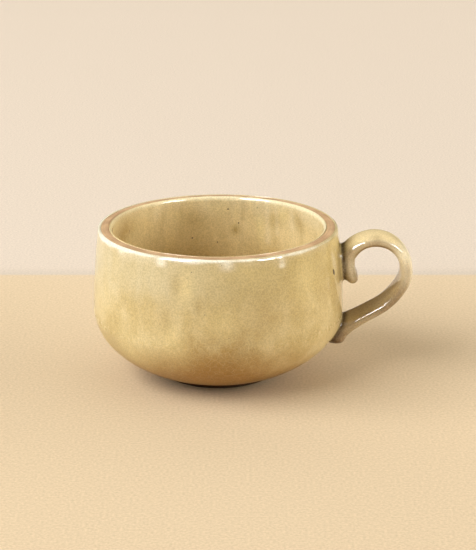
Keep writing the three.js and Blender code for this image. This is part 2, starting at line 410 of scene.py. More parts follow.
@dataclass(frozen=True)
class BowlForm:
    """Sizes of the thrown bowl and its coats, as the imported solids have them."""

    axis_x: float
    height: float = 58 * MM
    belly_radius: float = 46.85 * MM
    belly_height: float = 26.4 * MM
    rim_inset: float = 2.05 * MM
    wall: float = 4.2 * MM
    rim_round: float = 1.6 * MM
    floor: float = 4.6 * MM
    foot_radius: float = 22 * MM
    foot_height: float = 2.2 * MM
    foot_width: float = 4.5 * MM
    foot_recess: float = 1.8 * MM
    foot_chamfer: float = 0.6 * MM
    foot_bare: float = 1.5 * MM
    bare_angle: float = math.radians(50)
    glaze: float = 0.5 * MM
    coat_gap: float = 0.15 * MM
    edge_run: float = 1 * MM
    edge_thinning: float = 0.22 * MM
    edge_sink: float = 0.05 * MM
    rim_band: float = 5 * MM
    belly_steps: int = 64
    wall_steps: int = 50
    band_steps: int = 26
    round_steps: int = 10
    corner_steps: int = 4
    base_steps: int = 40
    edge_steps: int = 8

    @property
    def axis(self) -> Array:
        """Point of the cup's axis on the table."""
        return np.array([self.axis_x, 0.0, 0.0])

    @property
    def rim_top(self) -> float:
        """Height where the wall ends and the rim's rounding starts."""
        return self.height - self.rim_round

    @property
    def lower_depth(self) -> float:
        """Half height of the ellipse below the belly line."""
        lean = math.acos(self.foot_radius / self.belly_radius)
        return (self.belly_height - self.foot_height) / math.sin(lean)

    @property
    def upper_rise(self) -> float:
        """Half height of the taller ellipse above the belly line."""
        lean = math.acos((self.belly_radius - self.rim_inset) / self.belly_radius)
        return (self.rim_top - self.belly_height) / math.sin(lean)

    @property
    def floor_height(self) -> float:
        """Height of the clay under the drink."""
        return self.foot_recess + self.floor

    def ellipse(self, wide: float, tall: float, angles: Array) -> Skin:
        """Part of an ellipse about the belly line.

        Args:
            wide: its half width.
            tall: its half height.
            angles: its own angles, in radians.

        Returns:
            The points as a skin that faces away from the ellipse's centre.
        """
        across, up = np.cos(angles), np.sin(angles)
        out = np.stack([across / wide, up / tall], axis=1)
        at = np.stack([wide * across, self.belly_height + tall * up], axis=1)
        return Skin(at, out / np.linalg.norm(out, axis=1, keepdims=True))

    def upper_wall(self) -> Skin:
        """Outer wall from the belly line to the rim's rounding, finer near the rim.

        Returns:
            Its points as a skin.
        """
        low = np.linspace(self.belly_height, self.rim_top - self.rim_band, self.wall_steps)
        high = np.linspace(self.rim_top - self.rim_band, self.rim_top, self.band_steps)
        heights = np.concatenate([low, high[1:]])
        angles = np.arcsin((heights - self.belly_height) / self.upper_rise)
        return self.ellipse(self.belly_radius, self.upper_rise, angles)

    def outer_skin(self) -> Skin:
        """Outer surface of the clay that the coat lies on, from the foot to the bare rim.

        Returns:
            Its points as a skin.
        """
        glaze_line = -math.acos((self.foot_radius + self.foot_bare) / self.belly_radius)
        angles = np.linspace(glaze_line, 0, self.belly_steps)
        lower = self.ellipse(self.belly_radius, self.lower_depth, angles)
        wall = lower.then(self.upper_wall())
        lean = math.atan2(wall.out[-1][1], wall.out[-1][0])
        centre = wall.at[-1] - self.rim_round * wall.out[-1]
        return wall.then(arc(centre, self.rim_round, lean, self.bare_angle, self.round_steps))

    def inner_skin(self) -> Skin:
        """Inner surface of the clay that the coat lies on, from the floor's middle to the bare rim.

        Returns:
            Its points as a skin.
        """
        inside = self.belly_radius - self.wall
        angles = np.linspace(-math.pi / 2, 0, self.belly_steps)
        hollow = self.ellipse(inside, self.belly_height - self.floor_height, angles)
        outside = self.upper_wall()
        wall = hollow.then(Skin(outside.at - [self.wall, 0], outside.out))
        facing = Skin(wall.at, -wall.out)
        centre = wall.at[-1] + [self.rim_round, 0]
        edge = arc(centre, self.rim_round, math.pi, math.pi - self.bare_angle, self.round_steps)
        return facing.then(edge)

    def clay_profile(self) -> Array:
        """Profile of the whole clay bowl, from under the foot, up the outside and down the inside.

        Returns:
            Its points, as radius and height.
        """
        outer, inner = self.outer_skin(), self.inner_skin()
        wall_top = self.upper_wall()
        outer_centre = wall_top.at[-1] - self.rim_round * wall_top.out[-1]
        inner_centre = np.array([wall_top.at[-1][0] - self.wall + self.rim_round, self.rim_top])
        upright = math.pi / 2
        rim_out = arc(outer_centre, self.rim_round, self.bare_angle, upright, self.round_steps)
        rim_in = arc(inner_centre, self.rim_round, upright, math.pi - self.bare_angle, self.round_steps)
        foot_inside = self.foot_radius - self.foot_width
        corners = [
            (0.0, self.foot_recess),
            (foot_inside - self.foot_recess, self.foot_recess),
            (foot_inside, self.foot_chamfer),
            (foot_inside + self.foot_chamfer, 0.0),
            (self.foot_radius - self.foot_chamfer, 0.0),
            (self.foot_radius, self.foot_chamfer),
            (self.foot_radius, self.foot_height),
            tuple(outer.at[0]),
        ]
        foot = eased(corners, self.foot_chamfer / 2, self.corner_steps)
        flat = np.linspace(foot[0], foot[1], self.base_steps)
        return np.vstack([flat, foot[2:-1], outer.at, rim_out.at[1:], rim_in.at, inner.at[::-1][1:]])

    def near_edge(self, skin: Skin) -> Array:
        """How near each point of a coat's skin is to the edge where the coat stops.

        Args:
            skin: the clay under the coat.

        Returns:
            A share from 0, far away, to 1, at the edge.
        """
        run = run_along(skin.at)
        near = soft_step(run[-1] - run, self.edge_run, 0)
        if skin.at[0][0] > self.glaze:
            near = np.maximum(near, soft_step(run, self.edge_run, 0))
        return near

    def coat_face(self, skin: Skin) -> Array:
        """Distance from the clay to the coat's outer face, which thins towards its edges."""
        return self.coat_gap + self.glaze - self.edge_thinning * self.near_edge(skin)

    def coat_profile(self, skin: Skin) -> Array:
        """Closed outline of a coat on a skin.

        Args:
            skin: the clay under it.

        Returns:
            Its points: the over face along the skin, the edge, and the under face back.
        """
        over = skin.moved(self.coat_face(skin))
        under = skin.moved(self.coat_gap - (self.coat_gap + self.edge_sink) * self.near_edge(skin))[::-1]
        top = self.coat_edge(over[-1], under[0])
        if under[-1][0] < self.glaze:
            return np.vstack([over, top, under])
        bottom = self.coat_edge(under[-1], over[0])
        return np.vstack([over, top, under, bottom, over[:1]])

    def coat_edge(self, start: Array, stop: Array) -> Array:
        """Half round from one face of a coat to the other.

        Args:
            start: the point where it leaves the first face.
            stop: the point where it meets the second face.

        Returns:
            The points between the two.
        """
        middle, arm = (start + stop) / 2, (start - stop) / 2
        ahead = np.array([-arm[1], arm[0]])
        angles = np.linspace(0, math.pi, self.edge_steps + 1)[1:-1]
        return middle + np.outer(np.cos(angles), arm) + np.outer(np.sin(angles), ahead)

    def filled_profile(self, distance: float) -> Array:
        """Outline of the outer wall, grown by a distance and filled to the axis."""
        wall = self.outer_skin().moved(distance)
        return np.vstack([[0, wall[0][1]], wall, [0, wall[-1][1]]])

    def wall_at(self, height: float) -> tuple[Array, Array]:
        """Point of the outer wall at a height, and the way it faces."""
        tall = self.upper_rise if height > self.belly_height else self.lower_depth
        skin = self.ellipse(self.belly_radius, tall, np.arcsin([(height - self.belly_height) / tall]))
        return skin.at[0], skin.out[0]

    def turn_of(self, places: Array) -> Array:
        """Angle of each point round the cup's axis."""
        return np.arctan2(places[:, 1], places[:, 0] - self.axis_x)


@dataclass(frozen=True)
class StrapForm:
    """Sizes of the pulled strap handle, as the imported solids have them."""

    bowl: BowlForm
    width: float = 13.3 * MM
    thickness: float = 3.7 * MM
    squareness: float = 2.5
    loop_radius: float = 11.95 * MM
    loop_height: float = 40.8 * MM
    curl_radius: float = 4.4 * MM
    curl_start: float = math.radians(146.5)
    tongue_radius: float = 12.3 * MM
    tongue_angle: float = math.radians(44)
    press_thickness: float = 5.15 * MM
    press_stretch: float = 20.7 * MM
    bend_radius: float = 25.5 * MM
    bend_end: float = math.radians(-29)
    run_angle: float = math.radians(29.4)
    run_length: float = 9.9 * MM
    tail_bend: float = 7.6 * MM
    tail_height: float = 14 * MM
    tail_thickness: float = 6.3 * MM
    tail_stretch: float = 18.5 * MM
    tip_round: float = 3 * MM
    slip: float = 0.6 * MM
    slip_bead: float = 1 * MM
    strap_bite: float = 1 * MM
    seat_gap: float = 0.3 * MM
    path_step: float = 0.2 * MM
    curve_steps: int = 199
    turn_steps: int = 160

    @property
    def pressed_thickness(self) -> float:
        """Thickness of the strap where its upper end is pressed on the wall."""
        tongue_length = self.tongue_radius * self.tongue_angle
        swelling = math.sin(math.pi * tongue_length / self.press_stretch) ** 2
        return self.thickness + (self.press_thickness - self.thickness) * swelling

    @property
    def seat(self) -> float:
        """Distance from the wall to the strap's under face, before it is pared."""
        return 2 * self.seat_gap + self.slip - self.strap_bite

    @property
    def loop_centre(self) -> Array:
        """Centre of the loop, as distance from the bowl's axis and height."""
        offset = self.loop_radius - self.curl_radius
        curl_wall, _ = self.bowl.wall_at(self.loop_height + offset * math.sin(self.curl_start))
        curl_x = curl_wall[0] + self.seat + self.pressed_thickness / 2 + self.curl_radius
        return np.array([curl_x - offset * math.cos(self.curl_start), self.loop_height])

    def middle_line(self) -> Array:
        """Line along the middle of the strap, from the tail on the wall to the curl's tip.

        Returns:
            Its points, as distance from the bowl's axis and height.
        """
        loop = self.loop_centre
        curl = loop + (self.loop_radius - self.curl_radius) * way_at(self.curl_start)
        tongue = curl + [self.tongue_radius - self.curl_radius, 0]
        tail_wall, tail_out = self.bowl.wall_at(self.tail_height)
        tail = tail_wall + tail_out * (self.seat + self.tail_thickness / 2)
        way = way_at(self.run_angle)
        bend = loop + (self.loop_radius - self.bend_radius) * way_at(self.bend_end)
        bend_start = self.run_angle - math.pi / 2
        run_end = bend + self.bend_radius * way_at(bend_start)
        run_start = run_end - self.run_length * way
        turning = run_start - self.tail_bend * way
        half_turn = math.pi
        line = np.vstack(
            [
                soft_bend(tail, turning, run_start, self.curve_steps),
                run_end,
                self.turn(bend, self.bend_radius, bend_start, self.bend_end),
                self.turn(loop, self.loop_radius, self.bend_end, self.curl_start),
                self.turn(curl, self.curl_radius, self.curl_start, half_turn),
                self.turn(tongue, self.tongue_radius, half_turn, half_turn + self.tongue_angle),
            ]
        )
        run = run_along(line)
        even = np.linspace(0, run[-1], int(run[-1] / self.path_step))
        return np.stack([np.interp(even, run, line[:, 0]), np.interp(even, run, line[:, 1])], axis=1)

    def turn(self, centre: Array, radius: float, start: float, stop: float) -> Array:
        """Points of an arc after its first one."""
        return arc(centre, radius, start, stop, self.turn_steps).at[1:]


class FormTree:
    """A geometry tree with named sizes that makes a finished mesh from a host mesh."""

    name = ""
    sizes: dict[str, str] = {}

    def __init__(self) -> None:
        """Make the tree with its named inputs, and wire it."""
        self.tree = bpy.data.node_groups.new(self.name, "GeometryNodeTree")
        face = self.tree.interface
        face.new_socket("Geometry", in_out="INPUT", socket_type="NodeSocketGeometry")
        face.new_socket("Geometry", in_out="OUTPUT", socket_type="NodeSocketGeometry")
        for size, kind in {**self.sizes, "Finish": "NodeSocketMaterial"}.items():
            face.new_socket(size, in_out="INPUT", socket_type=kind)
        self.bench = Bench(self.tree)
        self.given = self.bench.node("NodeGroupInput")
        loose = self.bench.shape("RealizeInstances", Geometry=self.wire())
        dressed = self.bench.shape("SetMaterial", Geometry=loose, Material=self.size("Finish"))
        self.bench.node("NodeGroupOutput", None, {"Geometry": dressed})

    def size(self, name: str) -> Wire:
        """One of the tree's named inputs."""
        return Wire(self.bench, self.given.outputs[name])

    def wire(self) -> Wire:
        """Lay out the tree's own nodes and return the shape."""
        raise NotImplementedError

    def grid(self, rows: Wire, columns: Wire) -> tuple[Wire, Wire, Wire]:
        """Flat grid to be bent into a shape.

        Args:
            rows: how many points it has along the first share.
            columns: how many points it has along the second share.

        Returns:
            The grid, and each point's two shares from 0 to 1.
        """
        sockets = {"Size X": 1.0, "Size Y": 1.0, "Vertices X": rows, "Vertices Y": columns}
        mesh = self.bench.out("Mesh", "GeometryNodeMeshGrid", None, sockets)
        x, y, _ = self.bench.parts(self.bench.out("Position", "GeometryNodeInputPosition"))
        return mesh, x + 0.5, y + 0.5

    def bent(self, mesh: Wire, position: Wire) -> Wire:
        """Grid moved to its places, welded at its seam and poles, and smooth.

        Args:
            mesh: the flat grid.
            position: each point's place.

        Returns:
            The closed shape.
        """
        placed = self.bench.shape("SetPosition", Geometry=mesh, Position=position)
        welded = self.bench.shape("MergeByDistance", Geometry=placed, Distance=self.size("Weld"))
        return self.bench.shape("SetShadeSmooth", Geometry=welded)

    def make(self, host: Mesh, finish: Material | None, **sizes: object) -> Mesh:
        """Run the tree on a host mesh.

        Args:
            host: the mesh that the tree starts from; it is removed.
            finish: the finish that the tree sets.
            sizes: a value for each named input, with spaces written as low lines.

        Returns:
            The result as a plain mesh.
        """
        carrier = placed(self.name, host)
        modifier = carrier.modifiers.new(self.name, "NODES")
        modifier.node_group = self.tree
        values = {**spaced(sizes), "Finish": finish}
        for item in self.tree.interface.items_tree:
            if item.in_out == "INPUT" and item.name in values:
                modifier[item.identifier] = values[item.name]
        made = plain_mesh(carrier)
        bpy.data.objects.remove(carrier)
        bpy.data.meshes.remove(host)
        return made


class LatheTree(FormTree):
    """Turns a profile about the cup's upright axis."""

    name = "Turned form"
    weld = 0.002 * MM
    sizes = {
        "Turn Segments": "NodeSocketInt",
        **dict.fromkeys(("Crowding", "Axis X", "Weld"), "NodeSocketFloat"),
    }

    def wire(self) -> Wire:
        """Wrap a grid round the axis, with its columns closer together on the handle's side.

        Returns:
            The turned shape.
        """
        bench = self.bench
        profile = self.size("Geometry")
        count = bench.out("Point Count", "GeometryNodeAttributeDomainSize", None, {"Geometry": profile})
        mesh, around, along = self.grid(self.size("Turn Segments") + 1, count)
        turn = around * math.tau
        angle = turn - self.size("Crowding") * bench.math("SINE", turn)
        sockets = {
            "Geometry": profile,
            "Value": bench.out("Position", "GeometryNodeInputPosition"),
            "Index": bench.math("ROUND", along * (count - 1)),
        }
        spot = bench.out("Value", "GeometryNodeSampleIndex", {"data_type": "FLOAT_VECTOR"}, sockets)
        radius, _, height = bench.parts(spot)
        x = self.size("Axis X") + radius * bench.math("COSINE", angle)
        y = radius * bench.math("SINE", angle)
        return self.bent(mesh, bench.vector(x, y, height))

    def turned(
        self,
        profile: Array,
        axis_x: float,
        segments: int,
        finish: Material | None = None,
        crowding: float = 0.0,
    ) -> Mesh:
        """Turn a profile.

        Args:
            profile: its points, as radius and height.
            axis_x: where the cup's axis stands.
            segments: how many steps the turn has.
            finish: the finish that the tree sets.
            crowding: how much closer the steps are on the handle's side.

        Returns:
            The closed mesh.
        """
        sizes = {"Turn_Segments": segments, "Crowding": crowding, "Axis_X": axis_x, "Weld": self.weld}
        return self.make(outline(profile), finish, **sizes)


class StrapTree(FormTree):
    """Sweeps the strap's rounded section along its middle line."""

    name = "Pulled strap"
    section = (
        "Width",
        "Thickness",
        "Squareness",
        "Tip Round",
        "Tail Thickness",
        "Tail Stretch",
        "Press Thickness",
        "Press Stretch",
    )
    sizes = {
        **dict.fromkeys(("Rings", "Sides"), "NodeSocketInt"),
        **dict.fromkeys(("Swell", "Crowding", "Weld", *section), "NodeSocketFloat"),
    }

    def rounded(self, value: Wire) -> Wire:
        """Sine or cosine drawn towards the section's corners."""
        power = 2 / self.size("Squareness")
        return self.bench.math("SIGN", value) * abs(value) ** power

    def wire(self) -> Wire:
        """Bend a grid round the middle line, ring by ring, with rounded tips.

        Returns:
            The strap.
        """
        bench = self.bench
        line = bench.out("Curve", "GeometryNodeMeshToCurve", None, {"Mesh": self.size("Geometry")})
        length = bench.out("Length", "GeometryNodeCurveLength", None, {"Curve": line})
        swell = self.size("Swell")
        mesh, along, around = self.grid(self.size("Rings"), self.size("Sides") + 1)
        crowded = along - self.size("Crowding") * bench.math("SINE", along * math.tau) / math.tau
        distance = crowded * (length + 2 * swell) - swell
        held = bench.math("MINIMUM", bench.math("MAXIMUM", distance, 0.0), length)
        sockets = {"Curves": line, "Length": held}
        sample = bench.node("GeometryNodeSampleCurve", {"mode": "LENGTH"}, sockets)
        on_line, tangent = (Wire(bench, sample.outputs[name]) for name in ("Position", "Tangent"))
        centre = bench.moved(on_line, bench.scaled(tangent, distance - held))

        tip = self.size("Tip Round") + swell
        from_end = bench.math("MINIMUM", distance, length - distance) + swell
        short = bench.math("MAXIMUM", 1 - from_end / tip, 0.0)
        fullness = bench.math("SQRT", bench.math("MAXIMUM", 1 - short * short, 0.0))
        tail = 1 - bench.smooth(distance, 0.0, self.size("Tail Stretch"))
        pressed = bench.math("MINIMUM", (length - distance) / self.size("Press Stretch"), 1.0)
        press = bench.math("SINE", bench.math("MAXIMUM", pressed, 0.0) * math.pi) ** 2
        plain = self.size("Thickness")
        pressed_thickness = plain + (self.size("Press Thickness") - plain) * press
        thickness = pressed_thickness + (self.size("Tail Thickness") - pressed_thickness) * tail
        half_thickness = fullness * (thickness / 2 + swell)
        half_width = fullness * (self.size("Width") / 2 + swell)

        turn = around * math.tau
        reach = half_thickness * self.rounded(bench.math("COSINE", turn))
        side = half_width * self.rounded(bench.math("SINE", turn))
        forward_x, _, forward_z = bench.parts(tangent)
        offset = bench.vector(-1 * forward_z * reach, side, forward_x * reach)
        return self.bent(mesh, bench.moved(centre, offset))


class SpeckTree(FormTree):
    """Scatters flat iron specks over a coat, and sets larger ones at chosen points."""

    name = "Iron specks"
    sizes = {
        "Chosen": "NodeSocketObject",
        "Seed": "NodeSocketInt",
        **dict.fromkeys(("Density", "Smallest", "Largest", "Flatness"), "NodeSocketFloat"),
    }

    def named(self, name: str, kind: str) -> Wire:
        """Value of a mesh attribute, in a form."""
        settings = {"data_type": kind}
        return self.bench.out("Attribute", "GeometryNodeInputNamedAttribute", settings, {"Name": name})

    def set_on(self, points: Wire, facing: Wire, scale: Wire) -> Wire:
        """Lay one speck on each point.

        Args:
            points: where the specks lie.
            facing: the way the glaze faces there.
            scale: each speck's three half sizes.

        Returns:
            The specks as instances.
        """
        bench = self.bench
        ball = bench.out("Mesh", "GeometryNodeMeshIcoSphere", None, {"Radius": 1.0, "Subdivisions": 2})
        smooth = bench.shape("SetShadeSmooth", Geometry=ball)
        sockets = {"Vector": facing}
        turned = bench.out("Rotation", "FunctionNodeAlignRotationToVector", {"axis": "Z"}, sockets)
        sockets = {"Points": points, "Instance": smooth, "Rotation": turned, "Scale": scale}
        return bench.out("Instances", "GeometryNodeInstanceOnPoints", None, sockets)

    def wire(self) -> Wire:
        """Strew small specks by chance, add the chosen ones, and join them.

        Returns:
            The specks.
        """
        bench = self.bench
        seed = self.size("Seed")
        sockets = {
            "Mesh": self.size("Geometry"),
            "Selection": bench.math("GREATER_THAN", self.named("shown", "FLOAT"), 0.5),
            "Density": self.size("Density"),
            "Seed": seed,
        }
        settings = {"distribute_method": "RANDOM"}
        strewn = bench.node("GeometryNodeDistributePointsOnFaces", settings, sockets)
        sockets = {"Min": self.size("Smallest"), "Max": self.size("Largest"), "Seed": seed}
        half = bench.out("Value", "FunctionNodeRandomValue", {"data_type": "FLOAT"}, sockets)
        points, facing = (Wire(bench, strewn.outputs[name]) for name in ("Points", "Normal"))
        small = self.set_on(points, facing, bench.vector(half, half, half * self.size("Flatness")))
        sockets = {"Object": self.size("Chosen")}
        chosen = bench.out("Geometry", "GeometryNodeObjectInfo", {"transform_space": "RELATIVE"}, sockets)
        points = bench.out("Points", "GeometryNodeMeshToPoints", None, {"Mesh": chosen})
        facing, half_size = (self.named(name, "FLOAT_VECTOR") for name in ("facing", "half_size"))
        large = self.set_on(points, facing, half_size)
        joined = bench.node("GeometryNodeJoinGeometry")
        for part in (large, small):
            bench.feed(joined.inputs[0], part)
        return Wire(bench, joined.outputs[0])


class Cut(Enum):
    """How one closed mesh works on another."""

    JOIN = "UNION"
    REMOVE = "DIFFERENCE"
    KEEP = "INTERSECT"


def placed(name: str, data: ID) -> Object:
    """New object in the scene for a mesh, a lamp or a camera."""
    made = bpy.data.objects.new(name, data)
    bpy.context.scene.collection.objects.link(made)
    return made


def plain_mesh(carrier: Object) -> Mesh:
    """Mesh of an object with its modifiers worked in."""
    seen = bpy.context.evaluated_depsgraph_get()
    return bpy.data.meshes.new_from_object(carrier.evaluated_get(seen))


def outline(points: Array) -> Mesh:
    """Mesh of a line of points in the upright plane, for a tree to start from.

    Args:
        points: the line's points, as distance and height.

    Returns:
        A mesh of the points and the edges between them.
    """
    mesh = bpy.data.meshes.new("outline")
    corners = [(x, 0.0, z) for x, z in points]
    mesh.from_pydata(corners, [(i, i + 1) for i in range(len(corners) - 1)], [])
    return mesh


def carved(base: Mesh, how: Cut, tool: Mesh) -> Mesh:
    """Join or cut two closed meshes.

    Args:
        base: the mesh that is worked on.
        how: what is done to it.
        tool: the mesh that it is done with.

    Returns:
        A new mesh.
    """
    worked, worker = placed("worked", base), placed("worker", tool)
    modifier = worked.modifiers.new("carve", "BOOLEAN")
    modifier.operation = how.value
    modifier.solver = "MANIFOLD"
    modifier.object = worker
    made = plain_mesh(worked)
    bpy.data.objects.remove(worked)
    bpy.data.objects.remove(worker)
    return made


def corners_of(mesh: Mesh) -> Array:
    """Places of a mesh's corners, one row each."""
    flat = np.empty(3 * len(mesh.vertices))
    mesh.vertices.foreach_get("co", flat)
    return flat.reshape(-1, 3)


def set_corners(mesh: Mesh, places: Array) -> None:
    """Move a mesh's corners to new places."""
    mesh.vertices.foreach_set("co", places.astype(np.float32).ravel())
    mesh.update()


def note(mesh: Mesh, name: str, values: Array, kind: str = "FLOAT") -> None:
    """Keep a value for each corner of a mesh as an attribute.

    Args:
        mesh: the mesh.
        name: the attribute's name.
        values: one value or one vector for each corner.
        kind: the attribute's type.
    """
    made = mesh.attributes.new(name, kind, "POINT")
    part = "vector" if kind == "FLOAT_VECTOR" else "value"
    made.data.foreach_set(part, np.ravel(values).astype(np.float32))


def add_piece(name: str, mesh: Mesh, slot: str, finish: Material, *nodes: str) -> Object:
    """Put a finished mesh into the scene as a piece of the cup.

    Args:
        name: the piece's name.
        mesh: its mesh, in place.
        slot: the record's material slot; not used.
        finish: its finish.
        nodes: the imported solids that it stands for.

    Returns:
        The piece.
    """
    mesh.name = name
    mesh.materials.clear()
    mesh.materials.append(finish)
    piece = placed(name, mesh)
    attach(piece, CUP_BODY)
    if nodes:
        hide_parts(*nodes)
    log.info("%s: %d faces", name, len(mesh.polygons))
    return piece


@dataclass(frozen=True)
class Throwing:
    """The small unevenness that a potter's hands leave, the same for every piece of the cup."""

    axis_x: float
    full_height: float
    oval: float = 0.12 * MM
    oval_turn: float = 0.6
    three_sided: float = 0.05 * MM
    three_turn: float = 1.1
    ridge: float = 0.012 * MM
    ridge_pitch: float = 8.5 * MM
    calm_radius: float = 20 * MM

    def shaped(self, places: Array) -> Array:
        """Move points as the throwing did.

        Args:
            places: the points of a perfectly round cup.

        Returns:
            The points of the thrown one.
        """
        x = places[:, 0] - self.axis_x
        y, z = places[:, 1], places[:, 2]
        turn = np.arctan2(y, x)
        rise = z / self.full_height
        swell = self.oval * rise * np.cos(2 * (turn - self.oval_turn))
        swell += self.three_sided * rise * np.cos(3 * (turn - self.three_turn))
        swell += self.ridge * np.sin(math.tau * z / self.ridge_pitch + turn)
        radius = np.hypot(x, y)
        share = swell * soft_step(radius, 0, self.calm_radius) / np.maximum(radius, MM)
        moved = places.copy()
        moved[:, 0] += x * share
        moved[:, 1] += y * share
        return moved


class Finish:
    """Base of the finishes: starts a material with its shader."""

    def start(self, name: str, **constants: object) -> tuple[Material, Bench, Node]:
        """Begin a material.

        Args:
            name: the material's name.
            constants: values that are the same all over, set on the shader's own sockets.

        Returns:
            The material, its bench and its shader.
        """
        material = bpy.data.materials.new(name)
        material.use_nodes = True
        material.node_tree.nodes.clear()
        bench = Bench(material.node_tree)
        shader = bench.node("ShaderNodeBsdfPrincipled", None, spaced(constants))
        bench.node("ShaderNodeOutputMaterial", None, {"Surface": Wire(bench, shader.outputs[0])})
        return material, bench, shader

    def dress(self, bench: Bench, shader: Node, **wires: Wire) -> None:
        """Link what changes over the surface to the shader.

        Args:
            bench: the material's bench.
            shader: its shader.
            wires: a Wire for each of the shader's inputs, with spaces written as low lines.
        """
        for name, wire in spaced(wires).items():
            bench.feed(Bench.find(shader.inputs, name), wire)

    def bump(self, bench: Bench, height: Wire, depth: float, under: Wire | None = None) -> Wire:
        """Normal of a fine relief.

        Args:
            bench: the material's bench.
            height: the relief, from 0 to 1.
            depth: its depth in metres.
            under: the normal of a coarser relief below it.

        Returns:
            The normal.
        """
        sockets = {"Strength": 1.0, "Distance": depth, "Height": height}
        if under is not None:
            sockets["Normal"] = under
        return bench.out("Normal", "ShaderNodeBump", None, sockets)


class CoatSide(Enum):
    """Which coat of glaze a finish or a piece is for."""

    OUTER = "outer"
    INNER = "inner"


@dataclass(frozen=True)
class Mottles:
    """Where a glaze is seen, the patterns that it shows there, and the bench they are laid on."""

    bench: Bench
    spot: Wire
    x: Wire
    height: Wire
    clouds: Wire
    runs: Wire
    curds: Wire
    grain: Wire


@dataclass(frozen=True, kw_only=True)
class AshGlaze(Finish):
    """Glossy mottled ash glaze: milky where it is thick, partly a painted highlight, with paler and
    deeper patches, one deeper patch inside being painted shade.
    """

    side: CoatSide
    body: Colour = (0.535, 0.408, 0.182)
    pale: Colour = (0.735, 0.62, 0.35)
    olive: Colour = (0.455, 0.35, 0.145)
    patch_pale: Colour = (0.73, 0.595, 0.29)
    deep_tone_and_shade: Colour = (0.38, 0.255, 0.09)
    milk_and_highlight: Colour = (0.88, 0.835, 0.69)
    cloud_size: float = 13 * MM
    cloud_stretch: float = 0.8
    cloud_roughness: float = 0.55
    run_size: float = 4.5 * MM
    run_stretch: float = 0.3
    curd_size: float = 1.7 * MM
    curd_roughness: float = 0.6
    grain_size: float = 0.55 * MM
    grain_depth: float = 0.0006 * MM
    peel_size: float = 3.2 * MM
    peel_depth: float = 0.007 * MM
    craze_size: float = 2.7 * MM
    craze_wander: float = 0.8 * MM
    pale_clouds: Band = Band(0.4, 0.66, 0.5)
    olive_clouds: Band = Band(0.46, 0.3, 0.4)
    pale_runs: Band = Band(0.5, 0.72, 0.16)
    pale_curds: Band = Band(0.52, 0.7, 0.2)
    grain_shade: Band = Band(0.3, 0.7, 0.22)
    craze_line: Band = Band(0.05, 0.0, 0.2)
    paler_curds: Uneven = Uneven(0.4, 1.2)
    deeper_curds: Uneven = Uneven(0.5, 1.0)
    milk_and_highlight_curds: Uneven = Uneven(0.55, 0.9)
    index: float = 1.46
    coat_roughness: float = 0.06
    gloss: float = 0.05
    gloss_curds: Band = Band(0.35, 0.7, 0.08)
    satin: float = 0.35
    satin_wall: Band = Band(34 * MM, 16 * MM)
    gleam_runs: Uneven = Uneven(0.1, 0.2)

    def material(self) -> Material:
        """Build the glaze.

        Returns:
            Its material.
        """
        material, bench, shader = self.start(
            f"ash_glaze_{self.side.value}",
            IOR=self.index,
            Coat_Roughness=self.coat_roughness,
            Coat_IOR=self.index,
        )
        seen = self.mottles(bench)
        colour = bench.layered(
            self.wall_tones_and_shading(self.mottled(seen), seen),
            (bench.attribute("paler") * self.paler_curds.wire(seen.curds), self.patch_pale),
            # Deeper patches: the glaze's own tone, and inside one painted shade on the left wall.
            (bench.attribute("deeper_and_shade") * self.deeper_curds.wire(seen.curds), self.deep_tone_and_shade),
        )
        # Whiteness of the rim's roll and its curtain: partly milky glaze, partly painted highlight.
        milky_and_highlight = bench.attribute("depth") * self.milk_and_highlight_curds.wire(seen.curds)
        colour = self.covered(colour, seen)
        colour = bench.mix(bench.math("MINIMUM", milky_and_highlight, 1.0), colour, self.milk_and_highlight)
        shade = 1 + self.grain_shade.share / 2 - self.grain_shade.wire(seen.grain)
        colour = bench.mix(self.crazing(seen), bench.scaled(colour, shade), self.pale)

        peel = self.bump(bench, bench.noise(seen.spot, self.peel_size, 1), self.peel_depth)
        normal = self.bump(bench, seen.grain, self.grain_depth, peel)
        dull = self.dulled(seen)
        rough = self.gloss + self.gloss_curds.wire(seen.curds) + self.satin * dull
        gleam = self.gleam_runs.wire(seen.runs) * (1 - dull)
        self.dress(bench, shader, Base_Color=colour, Roughness=rough, Normal=normal, Coat_Weight=gleam)
        return material

    def mottles(self, bench: Bench) -> Mottles:
        """Lay out the glaze's patterns.

        Args:
            bench: the material's bench.

        Returns:
            The patterns.
        """
        spot = bench.spot()
        x, _, height = bench.parts(spot)
        clouds = bench.stretched(spot, (1, 1, self.cloud_stretch))
        runs = bench.stretched(spot, (1, 1, self.run_stretch))
        return Mottles(
            bench=bench,
            spot=spot,
            x=x,
            height=height,
            clouds=bench.noise(clouds, self.cloud_size, 3, self.cloud_roughness),
            runs=bench.noise(runs, self.run_size, 2),
            curds=bench.noise(spot, self.curd_size, 3, self.curd_roughness),
            grain=bench.noise(spot, self.grain_size, 1),
        )

    def mottled(self, seen: Mottles) -> Wire:
        """Colour of the glaze with its clouds, runs and curds.

        Args:
            seen: the glaze's patterns.

        Returns:
            The colour.
        """
        return seen.bench.layered(
            self.body,
            (self.pale_clouds.wire(seen.clouds), self.pale),
            (self.olive_clouds.wire(seen.clouds), self.olive),
            (self.pale_runs.wire(seen.runs), self.pale),
            (self.pale_curds.wire(seen.curds), self.pale),
        )

    def crazing(self, seen: Mottles) -> Wire:
        """Net of fine wandering cracks.

        Args:
            seen: the glaze's patterns.

        Returns:
            The share that they cover.
        """
        bench = seen.bench
        sockets = {"Vector": seen.spot, "Scale": 1 / self.curd_size, "Detail": 1.0}
        wander = bench.out("Color", "ShaderNodeTexNoise", None, sockets)
        bent = bench.moved(seen.spot, bench.scaled(wander, self.craze_wander))
        sockets = {"Vector": bent, "Scale": 1 / self.craze_size}
        edge = bench.out("Distance", "ShaderNodeTexVoronoi", {"feature": "DISTANCE_TO_EDGE"}, sockets)
        return self.craze_line.wire(edge)

